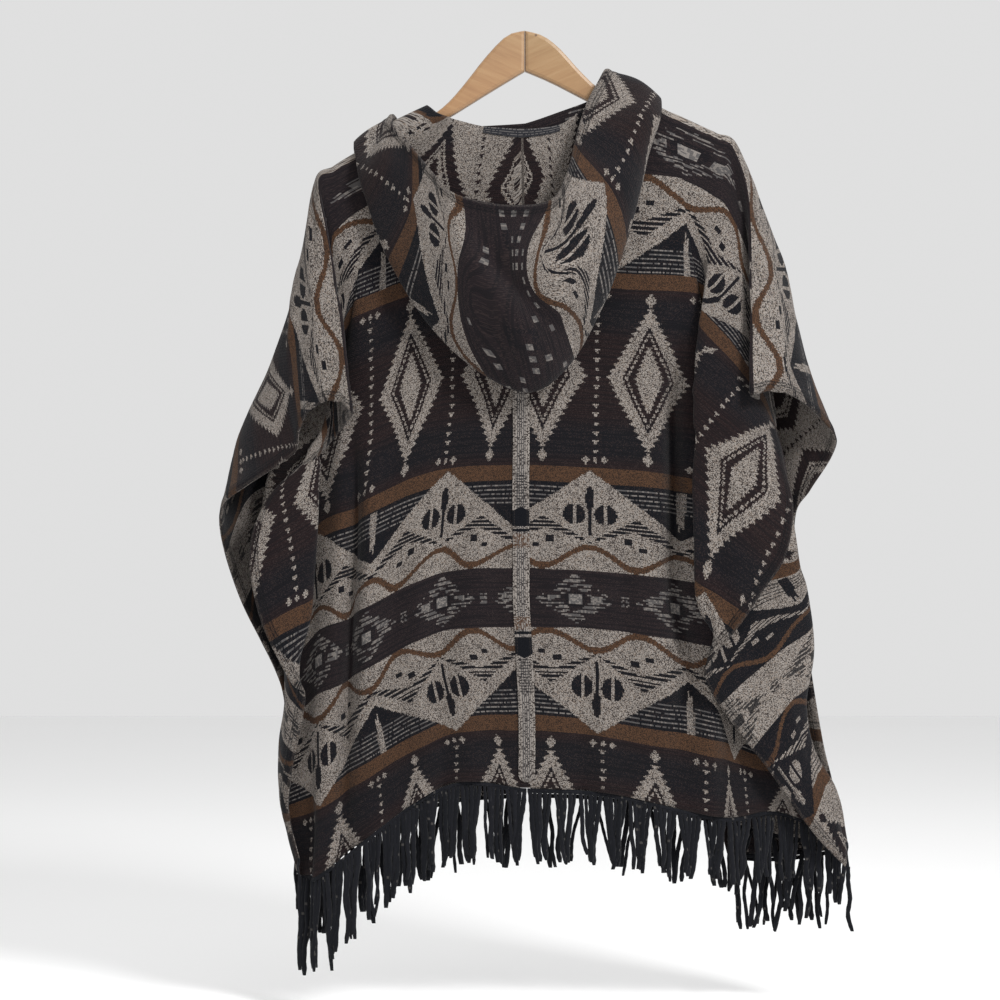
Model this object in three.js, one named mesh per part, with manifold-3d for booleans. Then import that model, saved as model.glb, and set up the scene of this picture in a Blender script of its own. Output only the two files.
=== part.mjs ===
// Hooded cape of heavy jacquard wool on a flat wooden hanger, back side towards -Y.
// Millimetres, +Z up, origin at the top of the hanger, where the hook would hold it.
//
// The cape is two half panels, each cut in one length that runs from the back hem over the
// shoulder to the front hem. Each panel is a lattice of places: one row for each weft line
// of the cloth, one named column for each fold that the weft crosses. A smooth surface
// through the lattice, thickened both ways, gives the cloth wall.
import * as THREE from 'three';
import { mergeVertices } from 'three/addons/utils/BufferGeometryUtils.js';
import Module from 'manifold-3d';

const wasm = await Module();
wasm.setup();

// ---------------------------------------------------------------- driving dimensions
const CLOTH = 2.2;            // wall of the double-faced wool
const SEAM_GAP = 0.3;         // pieces stay this far apart where they are sewn
const BACK_LENGTH = 690;      // shoulder to back hem, along the cloth
const NECK_DEPTH_BACK = 22;   // neckline below the shoulder line at the centre back
const NECK_DEPTH_FRONT = 84;  // and at the centre front
const BOARD = 12;             // hanger board, front to back
const FRINGE_LENGTH = 82;     // strand below the hem, before its own variation
const STRIP_WIDTH = 16;       // centre back strip

// The tables are drawn on one sheet, in millimetres from its top left corner. The hang
// point lies here on that sheet. "down" runs down the sheet, "out" towards the back.
const HANG = { x: 525, down: 28 };

function place(x, down, out) {
  return new THREE.Vector3(x - HANG.x, -out, HANG.down - down);
}

// ---------------------------------------------------------------- cloth tables
// Columns: centre seam, neck point, panel crest, bay behind it, outer turn, flap that
// comes back, fold, pleat, lap and side edge. Each entry is [x, down, out]. v is the
// distance along the cloth from the shoulder line: above 0 on the back, below 0 in front.
const COLUMNS = ['seam', 'neck', 'crest', 'bay', 'turn', 'flap', 'fold', 'pleat', 'lap', 'edge'];

const RIGHT_ROWS = [
  { v: 690, at: [[527, 788, 15], [608, 793, 16], [720, 817, 15], [778, 813, 4], [843, 838, 2],
    [845, 845, 9], [846, 851, 15], [846, 857, 18], [846, 862, 20], [845, 866, 22]] },
  { v: 650, at: [[527, 748, 16], [606, 754, 17], [714, 776, 16], [766, 786, 5], [834, 792, 4],
    [833, 803, 11], [830, 814, 16], [826, 824, 19], [822, 832, 21], [818, 838, 23]] },
  { v: 600, at: [[526, 699, 17], [606, 706, 17], [707, 722, 17], [757, 742, 3], [812, 750, 3],
    [810, 764, 13], [805, 776, 19], [801, 788, 22], [797, 797, 24], [793, 805, 26]] },
  { v: 545, at: [[524, 645, 17], [605, 650, 18], [701, 666, 17], [751, 684, 1], [805, 704, 2],
    [796, 718, 17], [788, 730, 22], [780, 742, 25], [772, 754, 27], [765, 765, 28]] },
  { v: 495, at: [[521, 597, 18], [605, 600, 18], [697, 612, 17], [750, 630, 0], [814, 650, 2],
    [785, 674, 22], [770, 688, 24], [757, 700, 26], [745, 712, 28], [733, 724, 30]] },
  { v: 440, at: [[521, 542, 18], [605, 546, 19], [695, 558, 17], [748, 575, 0], [810, 602, 3],
    [775, 630, 24], [752, 648, 27], [734, 662, 30], [720, 674, 32], [708, 686, 33]] },
  { v: 410, at: [[521, 513, 18], [605, 517, 19], [694, 528, 17], [746, 548, 0], [806, 584, 4],
    [762, 613, 26], [736, 634, 30], [722, 646, 33], [712, 655, 35], [706, 664, 36]] },
  { v: 375, at: [[521, 479, 18], [605, 483, 19], [693, 493, 17], [744, 512, 1], [801, 566, 5],
    [750, 584, 26], [700, 602, 38], [711, 612, 45], [723, 620, 46], [735, 628, 44]] },
  { v: 340, at: [[521, 444, 18], [605, 448, 19], [692, 458, 17], [742, 476, 1], [797, 540, 5],
    [746, 540, 26], [696, 541, 39], [720, 562, 49], [742, 578, 50], [759, 592, 46]] },
  { v: 300, at: [[521, 404, 18], [605, 408, 19], [692, 418, 17], [740, 434, 1], [790, 497, 6],
    [741, 486, 26], [694, 478, 39], [728, 510, 50], [760, 538, 50], [783, 556, 44]] },
  { v: 265, at: [[522, 369, 18], [605, 373, 19], [692, 382, 17], [735, 394, 2], [780, 440, 7],
    [736, 432, 26], [693, 430, 39], [730, 464, 50], [768, 490, 48], [791, 508, 38]] },
  { v: 230, at: [[522, 334, 18], [605, 338, 19], [692, 347, 17], [722, 354, 4], [757, 382, 9],
    [726, 384, 25], [694, 388, 38], [728, 420, 48], [764, 450, 44], [783, 470, 34]] },
  { v: 185, at: [[523, 289, 17], [604, 294, 18], [689, 300, 17], [704, 305, 8], [722, 318, 11],
    [712, 326, 23], [698, 335, 34], [730, 370, 42], [760, 406, 34], [776, 434, 26]] },
  { v: 130, at: [[524, 235, 16], [603, 240, 17], [680, 244, 17], [691, 249, 14], [701, 256, 15],
    [707, 266, 21], [710, 279, 28], [738, 318, 33], [760, 370, 24], [775, 424, 20]] },
  { v: 85, at: [[525, 190, 15], [602, 190, 15], [673, 192, 15], [686, 196, 15], [699, 202, 16],
    [712, 211, 18], [725, 224, 20], [747, 270, 22], [762, 345, 14], [772, 412, 14]] },
  { v: 45, at: [[525, 149, 13], [602, 134, 13], [672, 151, 13], [686, 156, 13], [701, 162, 13],
    [716, 170, 13], [731, 182, 13], [748, 236, 14], [757, 320, 14], [764, 402, 20]] },
  { v: 15, at: [[525, 117, 10], [601, 96, 10], [672, 122, 10], [686, 128, 10], [702, 135, 10],
    [718, 142, 10], [734, 153, 11], [748, 206, 24], [747, 302, 44], [748, 397, 60]] },
  { v: 0, at: [[525, 106, 0], [601, 83.5, 0], [672, 111, 0], [686, 117, 0], [702, 124.5, 0],
    [718, 132, 0], [738, 143, 0], [756, 206, 19], [762, 302, 40], [765, 392, 56]] },
  { v: -15, at: [[525, 117, -10], [601, 96, -10], [672, 122, -10], [686, 128, -10],
    [702, 135, -10], [718, 142, -10], [741, 153, -9], [766, 216, 6], [777, 304, 30],
    [786, 395, 50]] },
  { v: -60, at: [[525, 162, -13], [601, 142, -13], [672, 166, -13], [686, 172, -13],
    [702, 178, -13], [718, 184, -14], [744, 196, -13], [776, 242, -4], [795, 322, 16],
    [808, 408, 38]] },
  { v: -105, at: [[526, 208, -15], [602, 192, -15], [673, 212, -15], [688, 218, -16],
    [703, 224, -17], [720, 232, -19], [744, 246, -22], [776, 284, -18], [804, 358, -4],
    [834, 434, 18]] },
  { v: -150, at: [[527, 254, -16], [602, 242, -17], [674, 258, -18], [692, 264, -22],
    [710, 272, -25], [726, 282, -29], [746, 298, -32], [768, 326, -30], [798, 386, -20],
    [833, 456, 4]] },
  { v: -205, at: [[528, 310, -17], [603, 300, -18], [678, 316, -19], [700, 322, -26],
    [724, 334, -28], [724, 344, -38], [730, 356, -44], [756, 384, -42], [784, 428, -28],
    [812, 490, -1]] },
  { v: -260, at: [[529, 366, -18], [604, 358, -19], [684, 372, -19], [716, 380, -28],
    [752, 402, -30], [726, 410, -42], [714, 420, -52], [740, 442, -54], [770, 474, -40],
    [797, 518, -8]] },
  { v: -340, at: [[530, 446, -18], [605, 440, -19], [690, 455, -19], [730, 470, -29],
    [774, 510, -30], [734, 514, -43], [704, 520, -54], [738, 538, -58], [774, 562, -46],
    [801, 590, -18]] },
  { v: -440, at: [[531, 546, -18], [606, 542, -19], [692, 558, -19], [738, 576, -28],
    [790, 612, -28], [742, 618, -42], [700, 626, -54], [738, 642, -58], [780, 652, -44],
    [812, 655, -20]] },
  { v: -545, at: [[531, 652, -17], [606, 650, -18], [696, 668, -18], [746, 690, -26],
    [806, 712, -24], [752, 724, -38], [706, 730, -50], [744, 742, -52], [790, 740, -40],
    [826, 742, -18]] },
  { v: -620, at: [[531, 728, -16], [606, 728, -17], [704, 750, -17], [754, 766, -22],
    [818, 782, -20], [764, 796, -34], [718, 800, -44], [756, 808, -46], [800, 802, -36],
    [838, 796, -16]] },
  { v: -690, at: [[531, 796, -15], [606, 800, -16], [716, 822, -16], [764, 834, -20],
    [824, 848, -18], [776, 858, -30], [732, 860, -38], [768, 864, -40], [808, 860, -32],
    [841, 852, -14]] },
];

const LEFT_ROWS = [
  { v: 690, at: [[527, 788, 15], [442, 787, 15], [326, 870, 16], [312, 876, 4], [300, 878, -5],
    [297, 874, 0], [296, 870, 4], [296, 866, 8], [297, 862, 12], [298, 858, 15]] },
  { v: 650, at: [[527, 748, 16], [440, 754, 17], [330, 822, 17], [313, 832, 2], [292, 836, -6],
    [289, 836, 0], [288, 835, 5], [288, 834, 9], [289, 832, 13], [291, 830, 16]] },
  { v: 600, at: [[526, 699, 17], [439, 708, 17], [334, 768, 18], [313, 782, 0], [282, 796, -7],
    [280, 799, 0], [280, 801, 6], [282, 803, 11], [285, 804, 15], [288, 805, 18]] },
  { v: 545, at: [[524, 645, 17], [438, 653, 18], [340, 706, 18], [314, 722, 0], [281, 744, -8],
    [279, 750, 0], [281, 756, 8], [284, 761, 14], [288, 765, 18], [292, 768, 20]] },
  { v: 495, at: [[521, 597, 18], [437, 603, 18], [346, 648, 18], [315, 665, -1], [284, 700, -8],
    [283, 708, 2], [286, 716, 11], [290, 722, 17], [295, 727, 20], [300, 731, 22]] },
  { v: 440, at: [[521, 542, 18], [437, 548, 19], [350, 590, 18], [316, 610, -2], [282, 652, -8],
    [285, 664, 4], [290, 676, 14], [295, 683, 20], [300, 689, 24], [305, 694, 26]] },
  { v: 410, at: [[521, 513, 18], [437, 519, 19], [352, 558, 18], [317, 580, -2], [278, 622, -8],
    [286, 638, 6], [297, 656, 19], [299, 667, 26], [297, 676, 30], [293, 683, 32]] },
  { v: 375, at: [[521, 479, 18], [437, 485, 19], [353, 521, 18], [317, 540, -2], [272, 584, -8],
    [290, 598, 8], [311, 614, 26], [297, 624, 35], [283, 632, 39], [271, 640, 40]] },
  { v: 340, at: [[521, 444, 18], [437, 450, 19], [354, 484, 18], [318, 503, -2], [268, 548, -8],
    [290, 556, 9], [314, 571, 28], [294, 584, 38], [275, 596, 42], [259, 606, 43]] },
  { v: 300, at: [[521, 404, 18], [437, 410, 19], [355, 442, 18], [320, 460, -2], [262, 505, -8],
    [290, 512, 9], [317, 523, 28], [294, 540, 38], [271, 553, 43], [252, 565, 44]] },
  { v: 265, at: [[522, 369, 18], [437, 375, 18], [356, 406, 18], [323, 422, -1], [272, 462, -7],
    [297, 470, 9], [319, 482, 27], [297, 498, 36], [275, 513, 40], [256, 527, 41]] },
  { v: 230, at: [[522, 334, 18], [437, 340, 18], [358, 370, 17], [333, 384, 1], [300, 420, -4],
    [312, 432, 8], [322, 446, 22], [308, 462, 30], [292, 476, 34], [277, 488, 36]] },
  { v: 185, at: [[523, 289, 17], [436, 295, 18], [362, 322, 17], [348, 332, 7], [334, 352, 2],
    [330, 374, 6], [328, 402, 14], [324, 424, 20], [319, 442, 25], [314, 460, 28]] },
  { v: 130, at: [[524, 235, 16], [435, 241, 17], [368, 264, 16], [358, 271, 14], [350, 281, 13],
    [345, 293, 12], [342, 309, 12], [335, 352, 13], [330, 402, 16], [325, 448, 22]] },
  { v: 85, at: [[525, 190, 15], [432, 196, 15], [373, 216, 15], [361, 222, 15], [350, 230, 15],
    [341, 240, 14], [334, 254, 13], [333, 302, 12], [334, 370, 14], [336, 436, 20]] },
  { v: 45, at: [[525, 149, 13], [428, 157, 13], [375, 180, 13], [361, 187, 13], [348, 194, 13],
    [336, 203, 13], [326, 216, 13], [329, 272, 14], [337, 348, 18], [345, 424, 27]] },
  { v: 15, at: [[525, 117, 10], [427, 125.5, 10], [375, 152, 10], [360, 160, 10],
    [346, 167.5, 10], [333, 175, 10], [319, 185, 11], [330, 246, 24], [344, 326, 40],
    [353, 414, 54]] },
  { v: 0, at: [[525, 106, 0], [427, 113, 0], [375, 140.5, 0], [360, 148.5, 0], [346, 156.5, 0],
    [332, 165.5, 0], [315, 178, 1], [318, 240, 22], [331, 322, 40], [343, 403, 52]] },
  { v: -15, at: [[525, 117, -10], [427, 125.5, -10], [375, 152, -10], [360, 160, -10],
    [346, 167.5, -10], [332, 176, -10], [312, 188, -7], [308, 242, 17], [316, 322, 37],
    [327, 402, 50]] },
  { v: -60, at: [[525, 162, -13], [427, 170, -13], [374, 196, -13], [359, 204, -13],
    [345, 211, -13], [331, 219, -13], [309, 228, -9], [300, 262, 8], [302, 335, 31],
    [309, 414, 47]] },
  { v: -105, at: [[524, 208, -15], [427, 216, -15], [373, 242, -15], [358, 250, -16],
    [344, 258, -17], [330, 264, -17], [307, 268, -14], [292, 292, 0], [288, 354, 23],
    [300, 433, 43]] },
  { v: -150, at: [[523, 254, -16], [427, 262, -17], [372, 288, -18], [357, 296, -20],
    [344, 302, -22], [328, 306, -23], [306, 306, -20], [286, 320, -6], [276, 372, 18],
    [297, 452, 44]] },
  { v: -205, at: [[522, 310, -17], [427, 318, -18], [370, 342, -19], [354, 350, -24],
    [340, 352, -29], [324, 350, -31], [302, 344, -28], [278, 350, -12], [262, 394, 13],
    [276, 468, 48]] },
  { v: -260, at: [[521, 366, -18], [427, 374, -19], [368, 396, -19], [348, 404, -28],
    [330, 406, -34], [316, 400, -38], [296, 388, -36], [270, 384, -20], [246, 418, 6],
    [248, 486, 48]] },
  { v: -310, at: [[521, 416, -18], [428, 424, -19], [366, 446, -19], [342, 454, -30],
    [320, 452, -36], [310, 442, -42], [294, 428, -42], [264, 416, -28], [237, 442, -6],
    [224, 506, 34]] },
  { v: -370, at: [[520, 476, -18], [428, 484, -19], [362, 506, -19], [332, 514, -30],
    [304, 512, -36], [312, 502, -46], [306, 490, -50], [272, 470, -40], [240, 488, -22],
    [222, 542, 6]] },
  { v: -440, at: [[520, 546, -18], [428, 554, -19], [358, 576, -19], [320, 588, -28],
    [280, 592, -34], [306, 584, -46], [322, 574, -54], [286, 562, -48], [256, 570, -32],
    [240, 604, -10]] },
  { v: -545, at: [[520, 652, -17], [430, 660, -18], [350, 690, -18], [314, 706, -24],
    [288, 716, -28], [312, 712, -40], [336, 706, -48], [310, 694, -46], [292, 690, -34],
    [280, 690, -16]] },
  { v: -620, at: [[520, 728, -16], [432, 736, -17], [346, 772, -17], [314, 788, -22],
    [290, 796, -24], [314, 792, -34], [338, 786, -43],
    [314, 776, -48], [294, 770, -38], [282, 764, -20]] },
  { v: -690, at: [[520, 796, -15], [436, 806, -16], [342, 852, -16], [316, 866, -18],
    [298, 872, -18], [314, 868, -29], [328, 862, -38],
    [316, 854, -48], [302, 846, -42], [291, 838, -22]] },
];

// Hood, turned down on the back: one column for each place round the neckline, from the
// left front corner over the back to the right front corner. It leaves the neckline, runs
// down against the back, turns at its outer contour, comes up and ends at the rim.
const HOOD_COLUMNS = [
  { neck: [520, 193, -19], far: [512, 198, -24], turn: [506, 201, -29], near: [513, 200, -33],
    rim: [520, 197, -32] },
  { neck: [478, 176, -19], far: [452, 180, -26], turn: [436, 184, -34], near: [452, 178, -42],
    rim: [470, 172, -38] },
  { neck: [440, 142, -17], far: [404, 152, -24], turn: [382, 158, -32], near: [394, 146, -38],
    rim: [424, 132, -30] },
  { neck: [427, 121, -13], far: [389, 141, -16], turn: [357, 155, -17], near: [374, 140, -20],
    rim: [404, 115, -17] },
  { neck: [427, 105.5, 0], far: [388, 121.5, 0], turn: [354, 140.5, 1], near: [370, 127, 3],
    rim: [398, 103, -2] },
  { neck: [429, 119, 13], far: [387, 141, 16], turn: [357, 156, 17], near: [374, 142, 22],
    rim: [393, 115, 12] },
  { neck: [434, 121, 14], far: [392, 174, 18], turn: [364, 190, 30], near: [380, 160, 40],
    rim: [391, 124, 26] },
  { neck: [455, 119, 14], far: [416, 218, 22], turn: [385, 250, 38], near: [406, 206, 56],
    rim: [410, 147, 44] },
  { neck: [482, 126, 16], far: [455, 270, 25], turn: [425, 320, 46], near: [436, 254, 74],
    rim: [432, 175, 58] },
  { neck: [503, 128, 17], far: [490, 312, 28], turn: [478, 371, 50], near: [468, 290, 88],
    rim: [456, 199, 70] },
  { neck: [521, 129, 17], far: [524, 330, 28], turn: [531, 392, 52], near: [514, 306, 94],
    rim: [506, 211, 76] },
  { neck: [541, 128, 17], far: [552, 304, 28], turn: [573, 358, 50], near: [560, 290, 88],
    rim: [550, 205, 70] },
  { neck: [561, 124, 16], far: [580, 262, 26], turn: [606, 297, 46], near: [592, 238, 74],
    rim: [567, 174, 56] },
  { neck: [579, 112, 14], far: [603, 212, 22], turn: [630, 226, 38], near: [618, 182, 54],
    rim: [576, 138, 40] },
  { neck: [597, 97, 14], far: [622, 160, 18], turn: [648, 158, 26], near: [640, 124, 34],
    rim: [586, 106, 24] },
  { neck: [600, 88, 13.5], far: [630, 103, 16], turn: [659, 112, 16], near: [645, 94, 19],
    rim: [598, 82, 12] },
  { neck: [600, 76.5, 0], far: [632, 84.5, 0], turn: [661, 97, 1], near: [640, 79, 3],
    rim: [606, 68, -2] },
  { neck: [600, 89, -14], far: [633, 103, -16], turn: [658, 112, -17], near: [643, 98, -20],
    rim: [606, 82, -16] },
  { neck: [597, 118, -17], far: [634, 136, -24], turn: [652, 146, -32], near: [630, 132, -38],
    rim: [600, 112, -32] },
  { neck: [566, 166, -19], far: [594, 174, -26], turn: [610, 180, -34], near: [594, 172, -42],
    rim: [574, 164, -38] },
  { neck: [531, 193, -19], far: [540, 198, -24], turn: [546, 201, -29], near: [539, 200, -33],
    rim: [531, 197, -32] },
];
const HOOD_STATIONS = ['neck', 'far', 'turn', 'near', 'rim'];

// ---------------------------------------------------------------- smooth curves
function catmull(a, b, c, d, t) {
  const t2 = t * t;
  const t3 = t2 * t;
  return 0.5 * (2 * b + (c - a) * t + (2 * a - 5 * b + 4 * c - d) * t2 + (3 * b - a - 3 * c + d) * t3);
}

// A smooth curve through points at whole-number parameters, straight on past its ends.
function along(points, s) {
  const last = points.length - 1;
  const i = Math.min(Math.max(Math.floor(s), 0), last - 1);
  const t = s - i;
  const b = points[i];
  const c = points[i + 1];
  const a = i > 0 ? points[i - 1] : b.clone().multiplyScalar(2).sub(c);
  const d = i + 2 <= last ? points[i + 2] : c.clone().multiplyScalar(2).sub(b);
  return new THREE.Vector3(
    catmull(a.x, b.x, c.x, d.x, t),
    catmull(a.y, b.y, c.y, d.y, t),
    catmull(a.z, b.z, c.z, d.z, t),
  );
}

// The cloth bends round the top of the hanger board: one more row on each side of the
// shoulder line, nearly level as far as the fold column, and halfway down the flute after it.
const OVER_BOARD = { v: 6, flat: { x: 0.4, down: 0.2, out: 0.7 }, flute: { x: 0.4, down: 0.4, out: 0.4 } };

function withShoulderRows(rows) {
  const fold = COLUMNS.indexOf('fold');
  const ridge = rows.findIndex((row) => row.v === 0);
  const extra = (next, v) => ({
    v,
    at: rows[ridge].at.map((p, c) => {
      const share = c <= fold ? OVER_BOARD.flat : OVER_BOARD.flute;
      const q = rows[next].at[c];
      return [
        p[0] + (q[0] - p[0]) * share.x,
        p[1] + (q[1] - p[1]) * share.down,
        p[2] + (q[2] - p[2]) * share.out,
      ];
    }),
  });
  return [
    ...rows.slice(0, ridge), extra(ridge - 1, OVER_BOARD.v),
    rows[ridge], extra(ridge + 1, -OVER_BOARD.v), ...rows.slice(ridge + 1),
  ];
}

// The surface of a panel: column parameter c, distance v along the cloth.
function panelSurface(rows) {
  const lattice = rows.map((row) => row.at.map((p) => place(...p)));
  return (c, v) => {
    let i = 0;
    while (i < rows.length - 2 && rows[i + 1].v > v) i += 1;
    const s = i + (rows[i].v - v) / (rows[i].v - rows[i + 1].v);
    return along(lattice.map((row) => along(row, c)), s);
  };
}

// ---------------------------------------------------------------- closed cloth walls
// Thickens a net of points into a closed wall. faces are triangles over the points, seen
// from the cloth's face side; open edges get a wall of their own.
function clothWall(points, faces, thickness, fixNormal) {
  const normals = points.map(() => new THREE.Vector3());
  const ab = new THREE.Vector3();
  const ac = new THREE.Vector3();
  for (const [a, b, c] of faces) {
    ab.subVectors(points[b], points[a]);
    ac.subVectors(points[c], points[a]);
    ab.cross(ac);
    for (const k of [a, b, c]) normals[k].add(ab);
  }
  const count = points.length;
  const position = new Float32Array(count * 6);
  points.forEach((p, k) => {
    const n = fixNormal ? fixNormal(k, normals[k].normalize()) : normals[k].normalize();
    const half = thickness / 2;
    p.clone().addScaledVector(n, half).toArray(position, k * 3);
    p.clone().addScaledVector(n, -half).toArray(position, (count + k) * 3);
  });
  const index = [];
  const open = new Map();
  for (const [a, b, c] of faces) {
    index.push(a, b, c, count + a, count + c, count + b);
    for (const [p, q] of [[a, b], [b, c], [c, a]]) {
      if (open.has(`${q},${p}`)) open.delete(`${q},${p}`);
      else open.set(`${p},${q}`, [p, q]);
    }
  }
  for (const [p, q] of open.values()) {
    index.push(q, p, count + p, q, count + p, count + q);
  }
  const geometry = new THREE.BufferGeometry();
  geometry.setAttribute('position', new THREE.BufferAttribute(position, 3));
  geometry.setIndex(index);
  geometry.computeVertexNormals();
  return geometry;
}

// Column parameters with the given number of cells between neighbouring columns.
function spread(cells) {
  const list = [0];
  cells.forEach((n, i) => {
    for (let k = 1; k <= n; k += 1) list.push(i + k / n);
  });
  return list;
}

const PANEL_CELLS = [3, 2, 2, 3, 2, 3, 2, 3];   // cells between the columns past the neck
const ROW_STEP = 50;          // longest step along the cloth, in the wall's own net
const NECK_COLUMN = 1;
const NECK_STOPS = [0, 0.4, 0.75, 0.95, 0.985];   // columns inside the neck
const NECK_CORNER = { c: 0.985, drop: 7 };         // where the neckline leaves the hanger board
const NECK_SQUARENESS = 6;                         // a higher power makes a squarer neckline

function panelColumns() {
  return [...NECK_STOPS, ...spread(PANEL_CELLS).map((c) => c + NECK_COLUMN)];
}

function neckDrop(c, depth) {
  if (c >= NECK_COLUMN) return 0;
  const share = Math.sqrt(1 - Math.min(1, c / NECK_CORNER.c) ** NECK_SQUARENESS);
  return NECK_CORNER.drop + (depth - NECK_CORNER.drop) * share;
}

function rowSteps(rows, sign) {
  const stops = rows.map((row) => row.v * sign).filter((v) => v >= 0).sort((a, b) => a - b);
  const list = [0];
  for (let i = 1; i < stops.length; i += 1) {
    const n = Math.ceil((stops[i] - stops[i - 1]) / ROW_STEP);
    for (let k = 1; k <= n; k += 1) list.push(stops[i - 1] + ((stops[i] - stops[i - 1]) * k) / n);
  }
  return list;
}

// One half panel: the back net and the front net share the shoulder line outside the neck.
function panelWall(rows, side, thickness = CLOTH) {
  const surface = panelSurface(rows);
  const columns = panelColumns();
  const points = [];
  const faces = [];
  const seam = new Set();
  function net(sign, neckDepth, shared) {
    const steps = rowSteps(rows, sign);
    const ids = steps.map((v, i) => columns.map((c, j) => {
      if (i === 0 && shared && c >= NECK_COLUMN) return shared[j];
      const depth = neckDrop(c, neckDepth);
      const down = depth + v * (1 - depth / BACK_LENGTH);
      const p = surface(c, sign * down);
      if (c === 0) {
        seam.add(points.length);
        p.x += (side * SEAM_GAP) / 2;
      }
      points.push(p);
      return points.length - 1;
    }));
    for (let i = 0; i + 1 < ids.length; i += 1) {
      for (let j = 0; j + 1 < columns.length; j += 1) {
        const [a, b, c, d] = [ids[i][j], ids[i][j + 1], ids[i + 1][j + 1], ids[i + 1][j]];
        if (sign * side > 0) faces.push([a, d, c], [a, c, b]);
        else faces.push([a, c, d], [a, b, c]);
      }
    }
    return ids[0];
  }
  const shoulder = net(1, NECK_DEPTH_BACK, null);
  net(-1, NECK_DEPTH_FRONT, shoulder);
  return clothWall(points, faces, thickness, (k, n) => {
    if (!seam.has(k)) return n;
    n.x = 0;
    return n.normalize();
  });
}

// ---------------------------------------------------------------- hood
const HOOD_ACROSS_CELLS = 2;
const HOOD_ALONG_CELLS = [3, 3, 3, 3];

const hoodLines = HOOD_COLUMNS.map((column) => HOOD_STATIONS.map((name) => place(...column[name])));

// s runs over the columns of the hood, t over its stations.
function hoodSurface(s, t) {
  return along(hoodLines.map((line) => along(line, t)), s);
}

// A net of rows of points, all rows alike, as triangles.
function netFaces(rows, columns) {
  const faces = [];
  for (let i = 0; i + 1 < rows; i += 1) {
    for (let j = 0; j + 1 < columns; j += 1) {
      const a = i * columns + j;
      faces.push([a, a + 1, a + columns + 1], [a, a + columns + 1, a + columns]);
    }
  }
  return faces;
}

function hoodWall() {
  const across = spread(new Array(HOOD_COLUMNS.length - 1).fill(HOOD_ACROSS_CELLS));
  const down = spread(HOOD_ALONG_CELLS);
  const points = across.flatMap((s) => down.map((t) => hoodSurface(s, t)));
  return clothWall(points, netFaces(across.length, down.length), CLOTH);
}

// ---------------------------------------------------------------- neck tape and back strip
const TAPE = { thickness: 1, first: 8.1, last: 11.9, steps: 10, stations: [0.002, 0.02, 0.04] };
const STRIP = { thickness: 1.6, top: 46, bottom: 684, rows: 22, round: 7 };

// The tape lies on the hood's inner side, along the back neck seam.
function neckTape() {
  const off = CLOTH / 2 + SEAM_GAP + TAPE.thickness / 2;
  const points = [];
  for (let i = 0; i <= TAPE.steps; i += 1) {
    const s = TAPE.first + ((TAPE.last - TAPE.first) * i) / TAPE.steps;
    for (const t of TAPE.stations) {
      const p = hoodSurface(s, t);
      const acrossHood = hoodSurface(s + 0.05, t).sub(hoodSurface(s - 0.05, t));
      const downHood = hoodSurface(s, t + 0.02).sub(p);
      points.push(p.clone().addScaledVector(acrossHood.cross(downHood).normalize(), -off));
    }
  }
  return clothWall(points, netFaces(TAPE.steps + 1, TAPE.stations.length), TAPE.thickness);
}

// The strip covers the centre back seam and ends round just above the hem.
function backStrip(rows) {
  const surface = panelSurface(rows);
  const off = CLOTH / 2 + SEAM_GAP + STRIP.thickness / 2;
  const half = STRIP_WIDTH / 2;
  const points = [];
  for (let i = 0; i <= STRIP.rows; i += 1) {
    const straight = STRIP.bottom - STRIP.round;
    const v = i < STRIP.rows - 2
      ? STRIP.top + ((straight - STRIP.top) * i) / (STRIP.rows - 3)
      : straight + STRIP.round * (i === STRIP.rows ? 1 : [0.45, 0.8][i - STRIP.rows + 2]);
    const past = Math.max(0, v - straight) / STRIP.round;
    const reach = half * Math.sqrt(Math.max(0.04, 1 - past * past));
    const p = surface(0, v);
    for (const w of [-1, -0.4, 0.4, 1]) {
      points.push(new THREE.Vector3(p.x + reach * w, p.y - off, p.z));
    }
  }
  const faces = netFaces(STRIP.rows + 1, 4).map(([a, b, c]) => [a, c, b]);
  return clothWall(points, faces, STRIP.thickness);
}

// ---------------------------------------------------------------- fringe
const FRINGE = { stripHeight: 5, stripThickness: 3.6, radius: 1.7, clump: 4, pull: 0.55 };
const STRAND_SIDES = 3;
const STRAND_ROOM = 6;

// A repeatable number between -1 and 1 for each strand.
function scatter(k, salt) {
  const x = Math.sin(k * 12.9898 + salt * 78.233) * 43758.5453;
  return 2 * (x - Math.floor(x)) - 1;
}

// The hem as the wall has it: one place for each of its columns, with the cloth's own
// direction there.
function hemLine(rows, side, sign) {
  const surface = panelSurface(rows);
  const v = sign * BACK_LENGTH;
  return panelColumns().map((c) => {
    const p = surface(c, v);
    const downCloth = p.clone().sub(surface(c, v - sign * 8)).normalize();
    if (c === 0) p.x += side * SEAM_GAP;
    return { p, downCloth };
  });
}

// Places at equal distances along the hem line, clear of its two ends.
function strandPlaces(line, count) {
  const run = [0];
  for (let k = 1; k < line.length; k += 1) {
    run.push(run[k - 1] + line[k].p.distanceTo(line[k - 1].p));
  }
  const list = [];
  let k = 1;
  for (let i = 0; i < count; i += 1) {
    const goal = (run[run.length - 1] * (i + 0.5)) / count;
    while (run[k] < goal) k += 1;
    const t = (goal - run[k - 1]) / (run[k] - run[k - 1]);
    const p = line[k - 1].p.clone().lerp(line[k].p, t);
    const downCloth = line[k - 1].downCloth.clone().lerp(line[k].downCloth, t).normalize();
    list.push({ p, downCloth });
  }
  return list;
}

function toManifold(geometry) {
  const clean = geometry.clone();
  clean.deleteAttribute('normal');
  clean.deleteAttribute('uv');
  const merged = mergeVertices(clean, 1e-4);
  const mesh = new wasm.Mesh({
    numProp: 3,
    vertProperties: new Float32Array(merged.attributes.position.array),
    triVerts: new Uint32Array(merged.index.array),
  });
  return new wasm.Manifold(mesh);
}

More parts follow.
